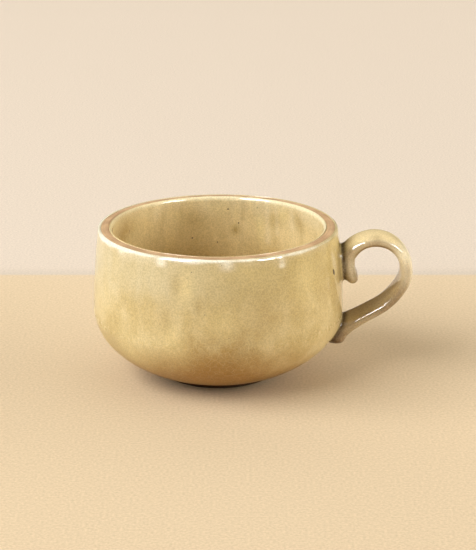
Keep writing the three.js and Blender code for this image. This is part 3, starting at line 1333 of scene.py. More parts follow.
    def wall_tones_and_shading(self, colour: Wire, seen: Mottles) -> Wire:
        """Colour of the coat's wall, which each coat has in its own way."""
        raise NotImplementedError

    def covered(self, colour: Wire, seen: Mottles) -> Wire:
        """Colour with what stands on the wall, which is nothing unless a coat says so."""
        return colour

    def dulled(self, seen: Mottles) -> Wire:
        """How satin the glaze is, from 0 above to 1 near the foot."""
        return self.satin_wall.wire(seen.height)


@dataclass(frozen=True, kw_only=True)
class InnerGlaze(AshGlaze):
    """The glaze inside the bowl, with upright streaks, painted light above and painted shade at the
    bottom.
    """

    side: CoatSide = CoatSide.INNER
    milk_and_highlight: Colour = (0.85, 0.75, 0.49)
    streak: Colour = (0.8, 0.665, 0.34)
    tint: Colour = (1.015, 0.972, 0.925)
    streak_size: float = 5 * MM
    streak_stretch: float = 0.2
    upper_wall: Band = Band(24 * MM, 50 * MM)
    upper_painted_light: float = 0.62
    lower_painted_shade: Band = Band(46 * MM, 32 * MM, 0.4)
    pale_streaks: Band = Band(0.52, 0.7, 0.45)
    dark_streaks: Band = Band(0.48, 0.32, 0.25)

    def wall_tones_and_shading(self, colour: Wire, seen: Mottles) -> Wire:
        """Colour of the inner wall.

        Args:
            colour: the glaze's colour so far.
            seen: the glaze's patterns.

        Returns:
            The new colour.
        """
        bench = seen.bench
        upright = bench.stretched(seen.spot, (1, 1, self.streak_stretch))
        streaks = bench.noise(upright, self.streak_size, 2)
        above = self.upper_wall.wire(seen.height)
        colour = bench.layered(
            colour,
            # Painted light: the upper inner wall paler.
            (above * self.upper_painted_light, self.pale),
            # Painted shade: the lower inner wall darker.
            (self.lower_painted_shade.wire(seen.height), self.deep_tone_and_shade),
            (self.pale_streaks.wire(streaks) * above, self.streak),
            (self.dark_streaks.wire(streaks) * above, self.deep_tone_and_shade),
        )
        return bench.stretched(colour, self.tint)


@dataclass(frozen=True, kw_only=True)
class OuterGlaze(AshGlaze):
    """The glaze over the wall and the handle, veiled with ash above and browner where it is thin, partly
    painted shade low on the front and back, and with painted light, shade and reflection on the handle.
    """

    side: CoatSide = CoatSide.OUTER
    axis_x: float
    wall_radius: float
    left_veil: Colour = (0.595, 0.525, 0.34)
    right_veil: Colour = (0.47, 0.355, 0.136)
    caramel: Colour = (0.355, 0.19, 0.042)
    veil_sides: Band = Band(-0.75, 0.65)
    veil_height: Band = Band(34 * MM, 48 * MM)
    veil_runs: Uneven = Uneven(0.3, 0.6)
    caramel_height: Band = Band(10 * MM, 36 * MM)
    caramel_dip_and_shade: float = 25 * MM
    cloud_sway: float = 12 * MM
    run_sway: float = 5 * MM
    strap_body: Colour = (0.6, 0.47, 0.26)
    strap_flank_and_reflection: Colour = (0.41, 0.315, 0.225)
    strap_painted_reflection: Colour = (0.58, 0.478, 0.358)
    strap_top_painted_light: Colour = (0.76, 0.605, 0.33)
    strap_painted_light_tone: Colour = (0.9, 0.81, 0.575)
    strap_brown: Colour = (0.17, 0.082, 0.028)
    loop_inside_and_shade: Colour = (0.29, 0.187, 0.075)
    run_inside_and_shade: Colour = (0.4, 0.28, 0.135)
    pooled_and_shade: Colour = (0.065, 0.034, 0.012)
    up_painted_light: Band = Band(0.1, 0.8, 0.5)
    aside_thin_and_reflection: Band = Band(0.35, 0.9, 0.4)
    out_painted_reflection: Band = Band(0.4, 0.95, 0.6)
    sky_painted_light: Band = Band(0.62, 0.96)
    loop_height: Band = Band(30 * MM, 40 * MM)
    inside_and_shade_share: float = 0.85
    pool_and_shade_curds: Uneven = Uneven(0.7, 0.6)
    satin_strap: Band = Band(21 * MM, 12 * MM)

    def wall_tones_and_shading(self, colour: Wire, seen: Mottles) -> Wire:
        """Colour of the outer wall.

        Args:
            colour: the glaze's colour so far.
            seen: the glaze's patterns.

        Returns:
            The new colour.
        """
        bench = seen.bench
        sway = self.cloud_sway * (seen.clouds - NOISE_MEAN) + self.run_sway * (seen.runs - NOISE_MEAN)
        level = seen.height + sway
        aside = (seen.x - self.axis_x) / self.wall_radius
        veil = bench.mix(self.veil_sides.wire(aside), self.left_veil, self.right_veil)
        # The caramel reaches higher at the front and back than at the sides: partly thin glaze, partly
        # painted shade.
        caramel_and_shade_level = level + self.caramel_dip_and_shade * aside * aside
        return bench.layered(
            colour,
            (self.veil_height.wire(level) * self.veil_runs.wire(seen.runs), veil),
            (1 - self.caramel_height.wire(caramel_and_shade_level), self.caramel),
        )

    def covered(self, colour: Wire, seen: Mottles) -> Wire:
        """Colour with the handle's painted light, shade and reflection, and the dark glaze pooled at its
        joints, partly painted shade.

        Args:
            colour: the glaze's colour so far.
            seen: the glaze's patterns.

        Returns:
            The new colour.
        """
        bench = seen.bench
        outward, across, up = bench.parts(bench.out("Normal", "ShaderNodeNewGeometry"))
        # Colour of the inner faces by height: partly thin glaze, partly painted shade.
        inside = bench.mix(self.loop_height.wire(seen.height), self.run_inside_and_shade, self.loop_inside_and_shade)
        on_strap = bench.layered(
            self.strap_body,
            # Painted light: the strap's upward faces paler.
            (self.up_painted_light.wire(up), self.pale),
            # The flanks: partly thin brown glaze, partly painted reflection.
            (self.aside_thin_and_reflection.wire(abs(across)), self.strap_flank_and_reflection),
            # Painted reflection on the outward faces.
            (self.out_painted_reflection.wire(outward), self.strap_painted_reflection),
            # Painted light: the crown's top palest.
            (self.sky_painted_light.wire(up), self.strap_top_painted_light),
            # Inner faces darker: partly thin glaze, partly painted shade.
            (bench.attribute("inner_face") * self.inside_and_shade_share, inside),
            # Painted light: lit patches on the loop and the tongue, and a sheen on the right flank.
            (bench.attribute("strap_painted_light"), self.strap_painted_light_tone),
            (bench.attribute("strap_dark"), self.strap_brown),
        )
        # Dark glaze pooled in the joints, partly painted shade in the crease.
        pool_and_shade = bench.attribute("pool_and_shade") * self.pool_and_shade_curds.wire(seen.curds)
        return bench.layered(
            colour,
            (bench.attribute("strap"), on_strap),
            (bench.math("MINIMUM", pool_and_shade, 1.0), self.pooled_and_shade),
        )

    def dulled(self, seen: Mottles) -> Wire:
        """How satin the glaze is, on the wall and on the handle."""
        strap = seen.bench.attribute("strap")
        return super().dulled(seen) * (1 - strap) + strap * self.satin_strap.wire(seen.height)


@dataclass(frozen=True)
class BareClay(Finish):
    """Unglazed brown stoneware, matte and finely gritty, with faint rings from the turning, and
    near-black painted shade low down by the foot.
    """

    axis_x: float
    light: Colour = (0.51, 0.327, 0.164)
    dark: Colour = (0.385, 0.232, 0.108)
    # Near-black painted shade for the foot, which stands in shadow.
    foot: Colour = (0.07, 0.038, 0.016)
    grog: Colour = (0.2, 0.1, 0.05)
    patch_size: float = 7 * MM
    grit_size: float = 0.5 * MM
    grit_roughness: float = 0.6
    grit_depth: float = 0.05 * MM
    ring_pitch: float = 0.9 * MM
    ring_depth: float = 0.02 * MM
    ring_shade: float = 0.05
    wobble_size: float = 5 * MM
    wobble: float = 0.6 * MM
    light_patches: Band = Band(0.35, 0.68)
    grog_grains: Band = Band(0.6, 0.78, 0.55)
    foot_height: Band = Band(14 * MM, 8 * MM)
    roughness: Uneven = Uneven(0.62, 0.3)
    shine: float = 0.3

    def material(self) -> Material:
        """Build the bare clay.

        Returns:
            Its material.
        """
        material, bench, shader = self.start("bare_clay", Specular_IOR_Level=self.shine)
        spot = bench.spot()
        x, y, height = bench.parts(spot)
        out = bench.math("SQRT", (x - self.axis_x) * (x - self.axis_x) + y * y)
        patches = bench.noise(spot, self.patch_size, 3)
        grit = bench.noise(spot, self.grit_size, 2, self.grit_roughness)
        run = out + height + self.wobble * bench.noise(spot, self.wobble_size, 2)
        rings = bench.math("SINE", run * (math.tau / self.ring_pitch))
        colour = bench.layered(
            self.dark,
            (self.light_patches.wire(patches), self.light),
            (self.grog_grains.wire(grit), self.grog),
        )
        colour = bench.scaled(colour, 1 + self.ring_shade * rings)
        # Painted shade: the clay darkens to near black towards the foot.
        colour = bench.mix(self.foot_height.wire(height), colour, self.foot)
        relief = self.bump(bench, 0.5 + 0.5 * rings, self.ring_depth)
        normal = self.bump(bench, grit, self.grit_depth, relief)
        self.dress(bench, shader, Base_Color=colour, Roughness=self.roughness.wire(grit), Normal=normal)
        return material


@dataclass(frozen=True)
class FleckedFinish(Finish):
    """A finish of two colours that one fine noise mixes, roughens and raises."""

    name: str
    dark: Colour
    light: Colour
    fleck_size: float
    fleck_detail: float
    fleck_depth: float
    flecks: Band | None
    roughness: Uneven
    constants: tuple[tuple[str, float], ...]

    def material(self) -> Material:
        """Build the finish.

        Returns:
            Its material.
        """
        material, bench, shader = self.start(self.name, **dict(self.constants))
        noise = bench.noise(bench.spot(), self.fleck_size, self.fleck_detail)
        share = self.flecks.wire(noise) if self.flecks else noise
        colour = bench.mix(share, self.dark, self.light)
        normal = self.bump(bench, noise, self.fleck_depth)
        self.dress(bench, shader, Base_Color=colour, Roughness=self.roughness.wire(noise), Normal=normal)
        return material


@dataclass(frozen=True)
class StudioPaper(Finish):
    """Plain pale paper of the studio: warm under the cup, lighter behind it, with a painted shade line
    along the seam between them.
    """

    near: Colour = (0.602, 0.473, 0.312)
    far: Colour = (0.608, 0.522, 0.432)
    seam_y: float = 119 * MM
    seam_width: float = 1.5 * MM
    seam_shade_width: float = 13 * MM
    seam_shade_strength: float = 0.1
    fibre_size: float = 1.0 * MM
    fibre_roughness: float = 0.6
    fibre_depth: float = 0.05 * MM
    fibre_shade: Uneven = Uneven(0.7, 0.6)
    roughness: Uneven = Uneven(0.75, 0.2)
    shine: float = 0.1

    def material(self) -> Material:
        """Build the paper.

        Returns:
            Its material.
        """
        material, bench, shader = self.start("studio_paper", Specular_IOR_Level=self.shine)
        spot = bench.spot()
        _, y, _ = bench.parts(spot)
        fibres = bench.noise(spot, self.fibre_size, 3, self.fibre_roughness)
        behind = bench.smooth(y, self.seam_y - self.seam_width, self.seam_y + self.seam_width)
        # Painted shade: a soft dark line just behind the seam.
        seam_shade = behind * bench.smooth(y, self.seam_y + self.seam_shade_width, self.seam_y)
        colour = bench.scaled(bench.mix(behind, self.near, self.far), self.fibre_shade.wire(fibres))
        colour = bench.scaled(colour, 1 - self.seam_shade_strength * seam_shade)
        normal = self.bump(bench, fibres, self.fibre_depth)
        self.dress(bench, shader, Base_Color=colour, Roughness=self.roughness.wire(fibres), Normal=normal)
        return material


@dataclass(frozen=True)
class GlazePatch:
    """One soft patch of another tone in the glaze, about a point given from the cup's axis."""

    centre: Point
    half_size: float
    strength: float
    tall: float = 1.0

    def share(self, places: Array) -> Array:
        """How strongly the patch shows at each of some points."""
        arm = (places - np.array(self.centre)) / [1, 1, self.tall]
        return self.strength * bell(np.linalg.norm(arm, axis=1) / self.half_size)


Patches = dict[str, tuple[GlazePatch, ...]]


def patch(
    x: float, y: float, z: float, half_size: float, strength: float, tall: float = 1.0
) -> GlazePatch:
    """Patch of glaze from its place and half size in millimetres."""
    return GlazePatch((x * MM, y * MM, z * MM), half_size * MM, strength, tall)


def lay_patches(mesh: Mesh, places: Array, layers: Patches) -> None:
    """Note on a coat's corners how strongly its patches of each kind show.

    Args:
        mesh: the coat.
        places: its corners, from the cup's axis.
        layers: the patches of each kind, by the name of the attribute.
    """
    for name, patches in layers.items():
        note(mesh, name, sum(each.share(places) for each in patches))


@dataclass(frozen=True)
class Wave:
    """One ripple round the cup's axis."""

    count: int
    share: float
    phase: float = 0.0


def rippled(turn: Array, waves: tuple[Wave, ...]) -> Array:
    """Sum of some ripples at each angle, about 0."""
    return sum(wave.share * np.sin(wave.count * turn + wave.phase) for wave in waves)


@dataclass(frozen=True)
class Drip:
    """One thick run of glaze below the rim, with a bead at its end."""

    turn: float
    width: float
    length: float
    swell: float

    def depth(self, away: Array, drop: Array, bead_share: float) -> Array:
        """How thick the run is.

        Args:
            away: distance along the wall from the run's middle.
            drop: distance along the wall from the coat's upper edge.
            bead_share: how much thinner the run is above its bead.

        Returns:
            The thickness in metres.
        """
        down = soft_step(drop, self.length + self.width, self.length - self.width)
        down *= soft_step(drop, 0, MM)
        bead = 1 - bead_share * (1 - bell((drop - self.length) / self.width))
        return self.swell * bell(away / self.width) * down * bead


@dataclass(frozen=True)
class RimRoll:
    """The thick rolled edge of a coat below the bare rim, with its runs."""

    swell: float
    centre: float
    spread: float
    ripple: float
    drips: tuple[Drip, ...]
    bead_share: float
    milk_and_highlight_share: float
    curtain_length: float
    curtain_share: float
    # The heavy side is also the side where the light falls.
    heavy_and_lit_turn: float
    heavy_and_lit_share: float
    edge_waves: tuple[Wave, ...] = (Wave(7, 0.5, 1.0), Wave(13, 0.3), Wave(29, 0.2, 2.0))
    hem_waves: tuple[Wave, ...] = (Wave(5, 0.3, 0.5), Wave(11, 0.25, 2.0), Wave(23, 0.15))
    curtain_fall: float = 1.5

    def heaviness_and_light(self, turn: Array) -> Array:
        """How heavy the roll is at each angle, as a factor about 1 that is highest on its heavy side,
        which is also where the light falls, so its whiteness there is partly a painted highlight.
        """
        return 1 + self.heavy_and_lit_share * np.cos(turn - math.radians(self.heavy_and_lit_turn))

    def depth(self, turn: Array, drop: Array, radius: float) -> Array:
        """How much thicker than its usual depth the glaze is.

        Args:
            turn: angle round the axis.
            drop: distance along the wall from the coat's upper edge.
            radius: the wall's radius there, for the drips' widths.

        Returns:
            The extra thickness in metres.
        """
        uneven = (1 + self.ripple * rippled(turn, self.edge_waves)) * self.heaviness_and_light(turn)
        extra = self.swell * uneven * bell((drop - self.centre) / (self.spread * uneven))
        for drip in self.drips:
            away = np.angle(np.exp(1j * (turn - math.radians(drip.turn)))) * radius
            extra = np.maximum(extra, drip.depth(away, drop, self.bead_share))
        return extra

    def milkiness_and_highlight(self, extra: Array, turn: Array, drop: Array) -> Array:
        """How milky the glaze is from its thickness, with a curtain that hangs from the rim; the
        whiteness is partly a painted highlight, strongest on the side where the light falls.

        Args:
            extra: the extra thickness.
            turn: angle round the axis.
            drop: distance below the coat's upper edge.

        Returns:
            A share from 0, which may pass 1 on the heavy, lit side.
        """
        hem = self.curtain_length * (1 + rippled(turn, self.hem_waves))
        curtain = (1 - np.clip(drop / np.maximum(hem, MM), 0, 1)) ** self.curtain_fall
        milk_and_highlight = np.clip(extra / self.swell, 0, 1) * self.milk_and_highlight_share + curtain * self.curtain_share
        return milk_and_highlight * self.heaviness_and_light(turn)


class WallField:
    """Distance from the face of a coat on the wall, for any point near it."""

    rows_at_once = 4000

    def __init__(self, skin: Skin, distance: Array, axis_x: float) -> None:
        """Keep the wall's line.

        Args:
            skin: the clay under the coat.
            distance: from each point of the clay to the coat's outer face.
            axis_x: where the cup's axis stands.
        """
        self.line = skin.moved(distance)
        self.out = skin.out
        self.axis_x = axis_x
        run = run_along(self.line)
        self.drop = run[-1] - run

    def measure(self, places: Array) -> tuple[Array, Array, Array]:
        """Measure points against the wall.

        Args:
            places: the points.

        Returns:
            Each point's distance, the way out from the wall there, and the distance below the edge.
        """
        x = places[:, 0] - self.axis_x
        radius = np.hypot(x, places[:, 1])
        flat = np.stack([radius, places[:, 2]], axis=1)
        nearest = np.empty(len(flat), dtype=int)
        for start in range(0, len(flat), self.rows_at_once):
            rows = slice(start, start + self.rows_at_once)
            gap = np.linalg.norm(flat[rows, None, :] - self.line[None, :, :], axis=2)
            nearest[rows] = gap.argmin(axis=1)
        out = self.out[nearest]
        distance = np.sum((flat - self.line[nearest]) * out, axis=1)
        safe = np.maximum(radius, MM)
        way = np.stack([out[:, 0] * x / safe, out[:, 0] * places[:, 1] / safe, out[:, 1]], axis=1)
        return distance, way, self.drop[nearest]


class StrapField:
    """Distance from the coat over the strap, for any point near it."""

    touch = 0.05 * MM

    def __init__(self, mesh: Mesh) -> None:
        """Keep the strap's faces in a tree for finding the nearest one."""
        corners = [corner.co.copy() for corner in mesh.vertices]
        self.tree = BVHTree.FromPolygons(corners, [tuple(face.vertices) for face in mesh.polygons])

    def measure(self, places: Array) -> tuple[Array, Array]:
        """Measure points against the strap.

        Args:
            places: the points.

        Returns:
            Each point's distance, and the way out from the strap there.
        """
        distance = np.empty(len(places))
        way = np.empty((len(places), 3))
        for i, place in enumerate(places):
            at, out, _, gap = self.tree.find_nearest(place)
            arm = Vector(place) - at
            inside = arm.dot(out) < 0
            distance[i] = -gap if inside else gap
            way[i] = out if gap < self.touch else (arm / gap) * (-1 if inside else 1)
        return distance, way


@dataclass(frozen=True)
class ClayBowl:
    """The thrown bowl, which shows at its bare rim and under the glaze line."""

    form: BowlForm
    throwing: Throwing
    segments: int = 300

    def build(self, lathe: LatheTree, finish: Material) -> Object:
        """Turn the bowl and dress it.

        Args:
            lathe: the tree that turns a profile.
            finish: the bare clay.

        Returns:
            The piece.
        """
        mesh = lathe.turned(self.form.clay_profile(), self.form.axis_x, self.segments, finish)
        set_corners(mesh, self.throwing.shaped(corners_of(mesh)))
        return add_piece("clay_bowl", mesh, CLAY_SLOT, finish, "bowl")


@dataclass(frozen=True)
class InnerCoat:
    """The glaze inside the bowl, with a thick edge below the rim."""

    form: BowlForm
    throwing: Throwing
    roll: RimRoll
    patches: Patches
    segments: int = 300

    def build(self, lathe: LatheTree, finish: Material) -> Object:
        """Turn the coat, swell its edge and dress it.

        Args:
            lathe: the tree that turns a profile.
            finish: the glaze.

        Returns:
            The piece.
        """
        form = self.form
        skin = form.inner_skin()
        mesh = lathe.turned(form.coat_profile(skin)[::-1], form.axis_x, self.segments, finish)
        places = corners_of(mesh)
        wall = WallField(skin, form.coat_face(skin), form.axis_x)
        distance, way, drop = wall.measure(places)
        shown = np.abs(distance) < ON_FACE
        turn = form.turn_of(places)
        extra = self.roll.depth(turn, drop, form.belly_radius) * shown
        places += way * extra[:, None]
        set_corners(mesh, self.throwing.shaped(places))
        note(mesh, "shown", shown)
        # Milkiness, partly a painted highlight.
        note(mesh, "depth", self.roll.milkiness_and_highlight(extra, turn, drop))
        lay_patches(mesh, places - form.axis, self.patches)
        return add_piece("inner_glaze_coat", mesh, GLAZE_SLOT, finish, "inner_glaze")


@dataclass(frozen=True)
class OuterCoat:
    """The glaze over the wall and the handle, one unbroken coat with soft fillets at the joints."""

    form: BowlForm
    strap: StrapForm
    throwing: Throwing
    roll: RimRoll
    patches: Patches
    crown_stain: GlazePatch
    segments: int = 340
    crowding: float = 0.7
    rings: int = 230
    sides: int = 80
    ring_crowding: float = 0.75
    strap_weld: float = 0.02 * MM
    handle_side: float = 0.6
    joint_side: float = 0.8
    fillet: float = 2.8 * MM
    fillet_slack: float = 0.03 * MM
    relax_rounds: int = 14
    relax_share: float = 0.5
    settle_rounds: int = 2
    least_slope: float = 0.1
    clear_of_strap: Band = Band(1 * MM, 4 * MM)
    off_wall: Band = Band(0.2 * MM, 1.4 * MM)
    facing_in: Band = Band(0.15, 0.8)
    brown_tail: Band = Band(20.5 * MM, 11.3 * MM, 0.92)
    brown_run_top: Band = Band(40 * MM, 30 * MM, 0.5)
    brown_run_foot: Band = Band(22 * MM, 27 * MM)
    pool_shade_by_wall: Band = Band(3.5 * MM, 0.6 * MM)
    pool_shade_by_strap: Band = Band(1.5 * MM, 0.1 * MM)

    def turned(self, lathe: LatheTree, profile: Array) -> Mesh:
        """Closed mesh of a profile, finer on the handle's side."""
        return lathe.turned(profile, self.form.axis_x, self.segments, crowding=self.crowding)

    def swept(self, sweep: StrapTree, swell: float) -> Mesh:
        """Closed mesh of the strap, grown by a distance.

        Args:
            sweep: the tree that sweeps the strap.
            swell: how far it is grown.

        Returns:
            The mesh.
        """
        section = {name: getattr(self.strap, name.lower().replace(" ", "_")) for name in sweep.section}
        return sweep.make(
            outline(self.strap.middle_line() + [self.form.axis_x, 0]),
            None,
            Rings=self.rings,
            Sides=self.sides,
            Swell=swell,
            Crowding=self.ring_crowding,
            Weld=self.strap_weld,
            **section,
        )

    def joined(self, lathe: LatheTree, sweep: StrapTree, skin: Skin, outside: Mesh) -> Mesh:
        """Join the coats of wall and handle, and hollow them for the strap and its slip.

        Args:
            lathe: the tree that turns a profile.
            sweep: the tree that sweeps the strap.
            skin: the clay under the wall's coat.
            outside: the outer face of the handle's coat, closed.

        Returns:
            The coat, with sharp joints.
        """
        form, strap = self.form, self.strap
        slip_reach = strap.seat_gap + strap.slip + form.coat_gap
        bead = self.swept(sweep, strap.slip_bead + form.coat_gap)
        bead = carved(bead, Cut.KEEP, self.turned(lathe, form.filled_profile(slip_reach)))
        void = carved(self.swept(sweep, form.coat_gap), Cut.JOIN, bead)
        within = self.turned(lathe, form.filled_profile(form.coat_gap + form.glaze / 2))
        handle = carved(outside, Cut.REMOVE, within)
        coat = carved(self.turned(lathe, form.coat_profile(skin)), Cut.JOIN, handle)
        coat = carved(coat, Cut.REMOVE, void)
        coat.shade_smooth()
        return coat

    def build(self, lathe: LatheTree, sweep: StrapTree, finish: Material) -> Object:
        """Join the coats, soften the joints, add the rim's roll and dress it.

        Args:
            lathe: the tree that turns a profile.
            sweep: the tree that sweeps the strap.
            finish: the glaze.

        Returns:
            The piece.
        """
        form = self.form
        skin = form.outer_skin()
        outside = self.swept(sweep, form.coat_gap + form.glaze)
        mesh = self.joined(lathe, sweep, skin, outside)
        wall = WallField(skin, form.coat_face(skin), form.axis_x)
        strap = StrapField(outside)
        places = self.softened(mesh, wall, strap)
        to_wall, way, drop = wall.measure(places)
        near = self.beyond(places, self.handle_side)
        to_strap = np.full(len(places), form.height)
        to_strap[near], _ = strap.measure(places[near])
        blended, _ = self.blend(to_wall, to_strap)
        shown = np.abs(blended) < self.fillet_slack
        on_wall = shown & (np.abs(to_wall) < ON_FACE)
        turn = form.turn_of(places)
        extra = self.roll.depth(turn, drop, form.belly_radius) * on_wall
        extra *= self.clear_of_strap.of(to_strap)
        places += way * extra[:, None]
        set_corners(mesh, self.throwing.shaped(places))
        note(mesh, "shown", shown)
        # Milkiness, partly a painted highlight.
        note(mesh, "depth", self.roll.milkiness_and_highlight(extra, turn, drop) * (to_wall < MM))
        note(mesh, "strap", self.off_wall.of(to_wall))
        # Mask of the inner faces, which the glaze darkens: partly thin glaze, partly painted shade.
        inner = self.inner_face(mesh, places) * near
        note(mesh, "inner_face", inner)
        # Glaze patches, and painted light on the handle's lit patches.
        lay_patches(mesh, places - form.axis, self.patches)
        note(mesh, "strap_dark", self.browned(places, inner))
        # Where glaze pools in the joints, partly painted shade in the crease.
        pool_and_shade = self.pool_shade_by_wall.of(to_wall) * self.pool_shade_by_strap.of(to_strap)
        note(mesh, "pool_and_shade", pool_and_shade * shown)
        return add_piece("outer_glaze_coat", mesh, GLAZE_SLOT, finish, "outer_glaze")

    def beyond(self, places: Array, share: float) -> Array:
        """Which points are further towards the handle than a share of the belly's radius."""
        return places[:, 0] > self.form.axis_x + share * self.form.belly_radius

    def browned(self, places: Array, inner: Array) -> Array:
        """How brown the handle is: at its tail, along its run and at the stain on its crown.

        Args:
            places: the coat's corners.
            inner: how much each faces the middle of the loop.

        Returns:
            A share for each corner.
        """
        height = places[:, 2]
        run = self.brown_run_top.of(height) * self.brown_run_foot.of(height) * (1 - inner)
        stain = self.crown_stain.share(places - self.form.axis)
        return np.maximum(self.brown_tail.of(height), run) + stain

    def inner_face(self, mesh: Mesh, places: Array) -> Array:
        """How much each corner of the handle's coat faces the middle of the loop.

        Args:
            mesh: the coat.
            places: its corners.

        Returns:
            A share from 0 to 1 for each corner.
        """
        facing = np.empty(3 * len(places))
        mesh.vertex_normals.foreach_get("vector", facing)
        across, height = self.strap.loop_centre
        inward = np.array([self.form.axis_x + across, 0.0, height]) - places
        inward[:, 1] = 0
        inward /= np.maximum(np.linalg.norm(inward, axis=1, keepdims=True), MM)
        return self.facing_in.of(np.sum(facing.reshape(-1, 3) * inward, axis=1))

    def blend(self, first: Array, second: Array) -> tuple[Array, Array]:
        """Distance from two surfaces that are joined by a fillet.

        Args:
            first: distances from the one.
            second: distances from the other.

        Returns:
            The joined distances, and how far each point is in the fillet, from 0 to 1.
        """
        share = np.clip(1 - np.abs(first - second) / self.fillet, 0, 1)
        return np.minimum(first, second) - self.fillet / 4 * share**2, share

    def softened(self, mesh: Mesh, wall: WallField, strap: StrapField) -> Array:
        """Places of a coat's corners with a fillet where the handle meets the wall.

        Args:
            mesh: the joined coat.
            wall: distance from the wall's coat.
            strap: distance from the handle's coat.

        Returns:
            The new places.
        """
        places = corners_of(mesh)
        close = np.flatnonzero(self.beyond(places, self.joint_side))
        to_wall, _, _ = wall.measure(places[close])
        to_strap, _ = strap.measure(places[close])
        _, share = self.blend(to_wall, to_strap)
        outer = np.minimum(to_wall, to_strap) > -ON_FACE
        free = close[outer & (share > 0)]
        is_free = np.zeros(len(places), dtype=bool)
        is_free[free] = True
        ends = np.empty(2 * len(mesh.edges), dtype=int)
        mesh.edges.foreach_get("vertices", ends)
        ends = ends.reshape(-1, 2)
        ends = ends[is_free[ends].any(axis=1)]
        links = np.bincount(ends.ravel(), minlength=len(places))
        for _ in range(self.relax_rounds):
            total = np.zeros_like(places)
            np.add.at(total, ends[:, 0], places[ends[:, 1]])
            np.add.at(total, ends[:, 1], places[ends[:, 0]])
            mean = total[free] / links[free, None]
            places[free] += self.relax_share * (mean - places[free])
            for _ in range(self.settle_rounds):
                to_wall, wall_way, _ = wall.measure(places[free])
                to_strap, strap_way = strap.measure(places[free])
                joined, share = self.blend(to_wall, to_strap)
                lead = np.where(to_wall < to_strap, 1 - share / 2, share / 2)[:, None]
                slope = lead * wall_way + (1 - lead) * strap_way
                steep = np.maximum(np.sum(slope**2, axis=1), self.least_slope)
                places[free] -= slope * (joined / steep)[:, None]
        return places


@dataclass(frozen=True)
class ChosenSpeck:
    """One iron speck that shows plainly, at a place on a coat."""

    turn: float
    height: float
    half_width: float
    half_length: float


@dataclass(frozen=True)
class IronSpecks:
    """The dark specks in one coat of glaze."""

    form: BowlForm
    side: CoatSide
    chosen: tuple[ChosenSpeck, ...]
    density: float
    smallest: float = 0.06 * MM
    largest: float = 0.19 * MM
    flatness: float = 0.3
    proud: float = 0.04 * MM
    outlook: float = 100 * MM
    seed: int = 7

    def chosen_points(self, coat: Object) -> Object:
        """Points of the larger specks, on the coat's own faces.

        Args:
            coat: the glaze coat that they are in.

        Returns:
            An object that carries the points, for the tree to read.
        """
        tree = BVHTree.FromObject(coat, bpy.context.evaluated_depsgraph_get())
        spots, facing, sizes = [], [], []
        for speck in self.chosen:
            turn = math.radians(speck.turn)
            way = Vector((math.cos(turn), math.sin(turn), 0.0))
            middle = Vector((self.form.axis_x, 0.0, speck.height))
            if self.side is CoatSide.OUTER:
                at, out, _, _ = tree.ray_cast(middle + way * self.outlook, -way)
            else:
                at, out, _, _ = tree.ray_cast(middle, way)
            spots.append(at)
            facing.append(out)
            sizes.append((speck.half_length, speck.half_width, self.proud))
        mesh = bpy.data.meshes.new("chosen_specks")
        mesh.from_pydata(spots, [], [])
        note(mesh, "facing", np.array(facing), "FLOAT_VECTOR")
        note(mesh, "half_size", np.array(sizes), "FLOAT_VECTOR")
        return placed("chosen_specks", mesh)

    def build(self, scatter: SpeckTree, coat: Object, finish: Material) -> Object:
        """Scatter the specks over a coat and dress them.

        Args:
            scatter: the tree that scatters them.
            coat: the glaze coat that they are in.
            finish: the iron.

        Returns:
            The piece.
        """
        points = self.chosen_points(coat)
        mesh = scatter.make(
            coat.data.copy(),
            finish,
            Chosen=points,
            Density=self.density,
            Smallest=self.smallest,
            Largest=self.largest,
            Flatness=self.flatness,
            Seed=self.seed,
        )
        bpy.data.objects.remove(points)
        return add_piece(f"iron_specks_{self.side.value}", mesh, GLAZE_SLOT, finish)


@dataclass(frozen=True)
class SoftLight:
    """One soft studio lamp."""

    name: str
    turn: float
    rise: float
    width: float
    height: float
    power: float
    distance: float = 2.6
    shines: bool = True
    fills: bool = True
    tint: Colour = (1.0, 1.0, 1.0)

    def build(self, aim: Vector) -> None:
        """Hang the lamp and turn it towards a point.

        Args:
            aim: the point.
        """
        turn, rise = math.radians(self.turn), math.radians(self.rise)
        level = math.cos(rise)
        way = Vector((level * math.cos(turn), level * math.sin(turn), math.sin(rise)))
        lamp = bpy.data.lights.new(self.name, "AREA")
        lamp.shape = "RECTANGLE"
        lamp.size, lamp.size_y = self.width, self.height
        lamp.energy = self.power
        lamp.color = self.tint
        holder = placed(self.name, lamp)
        holder.location = aim + way * self.distance
        holder.rotation_euler = way.to_track_quat("Z", "Y").to_euler()
        holder.visible_camera = False
        holder.visible_glossy = self.shines
        holder.visible_diffuse = self.fills


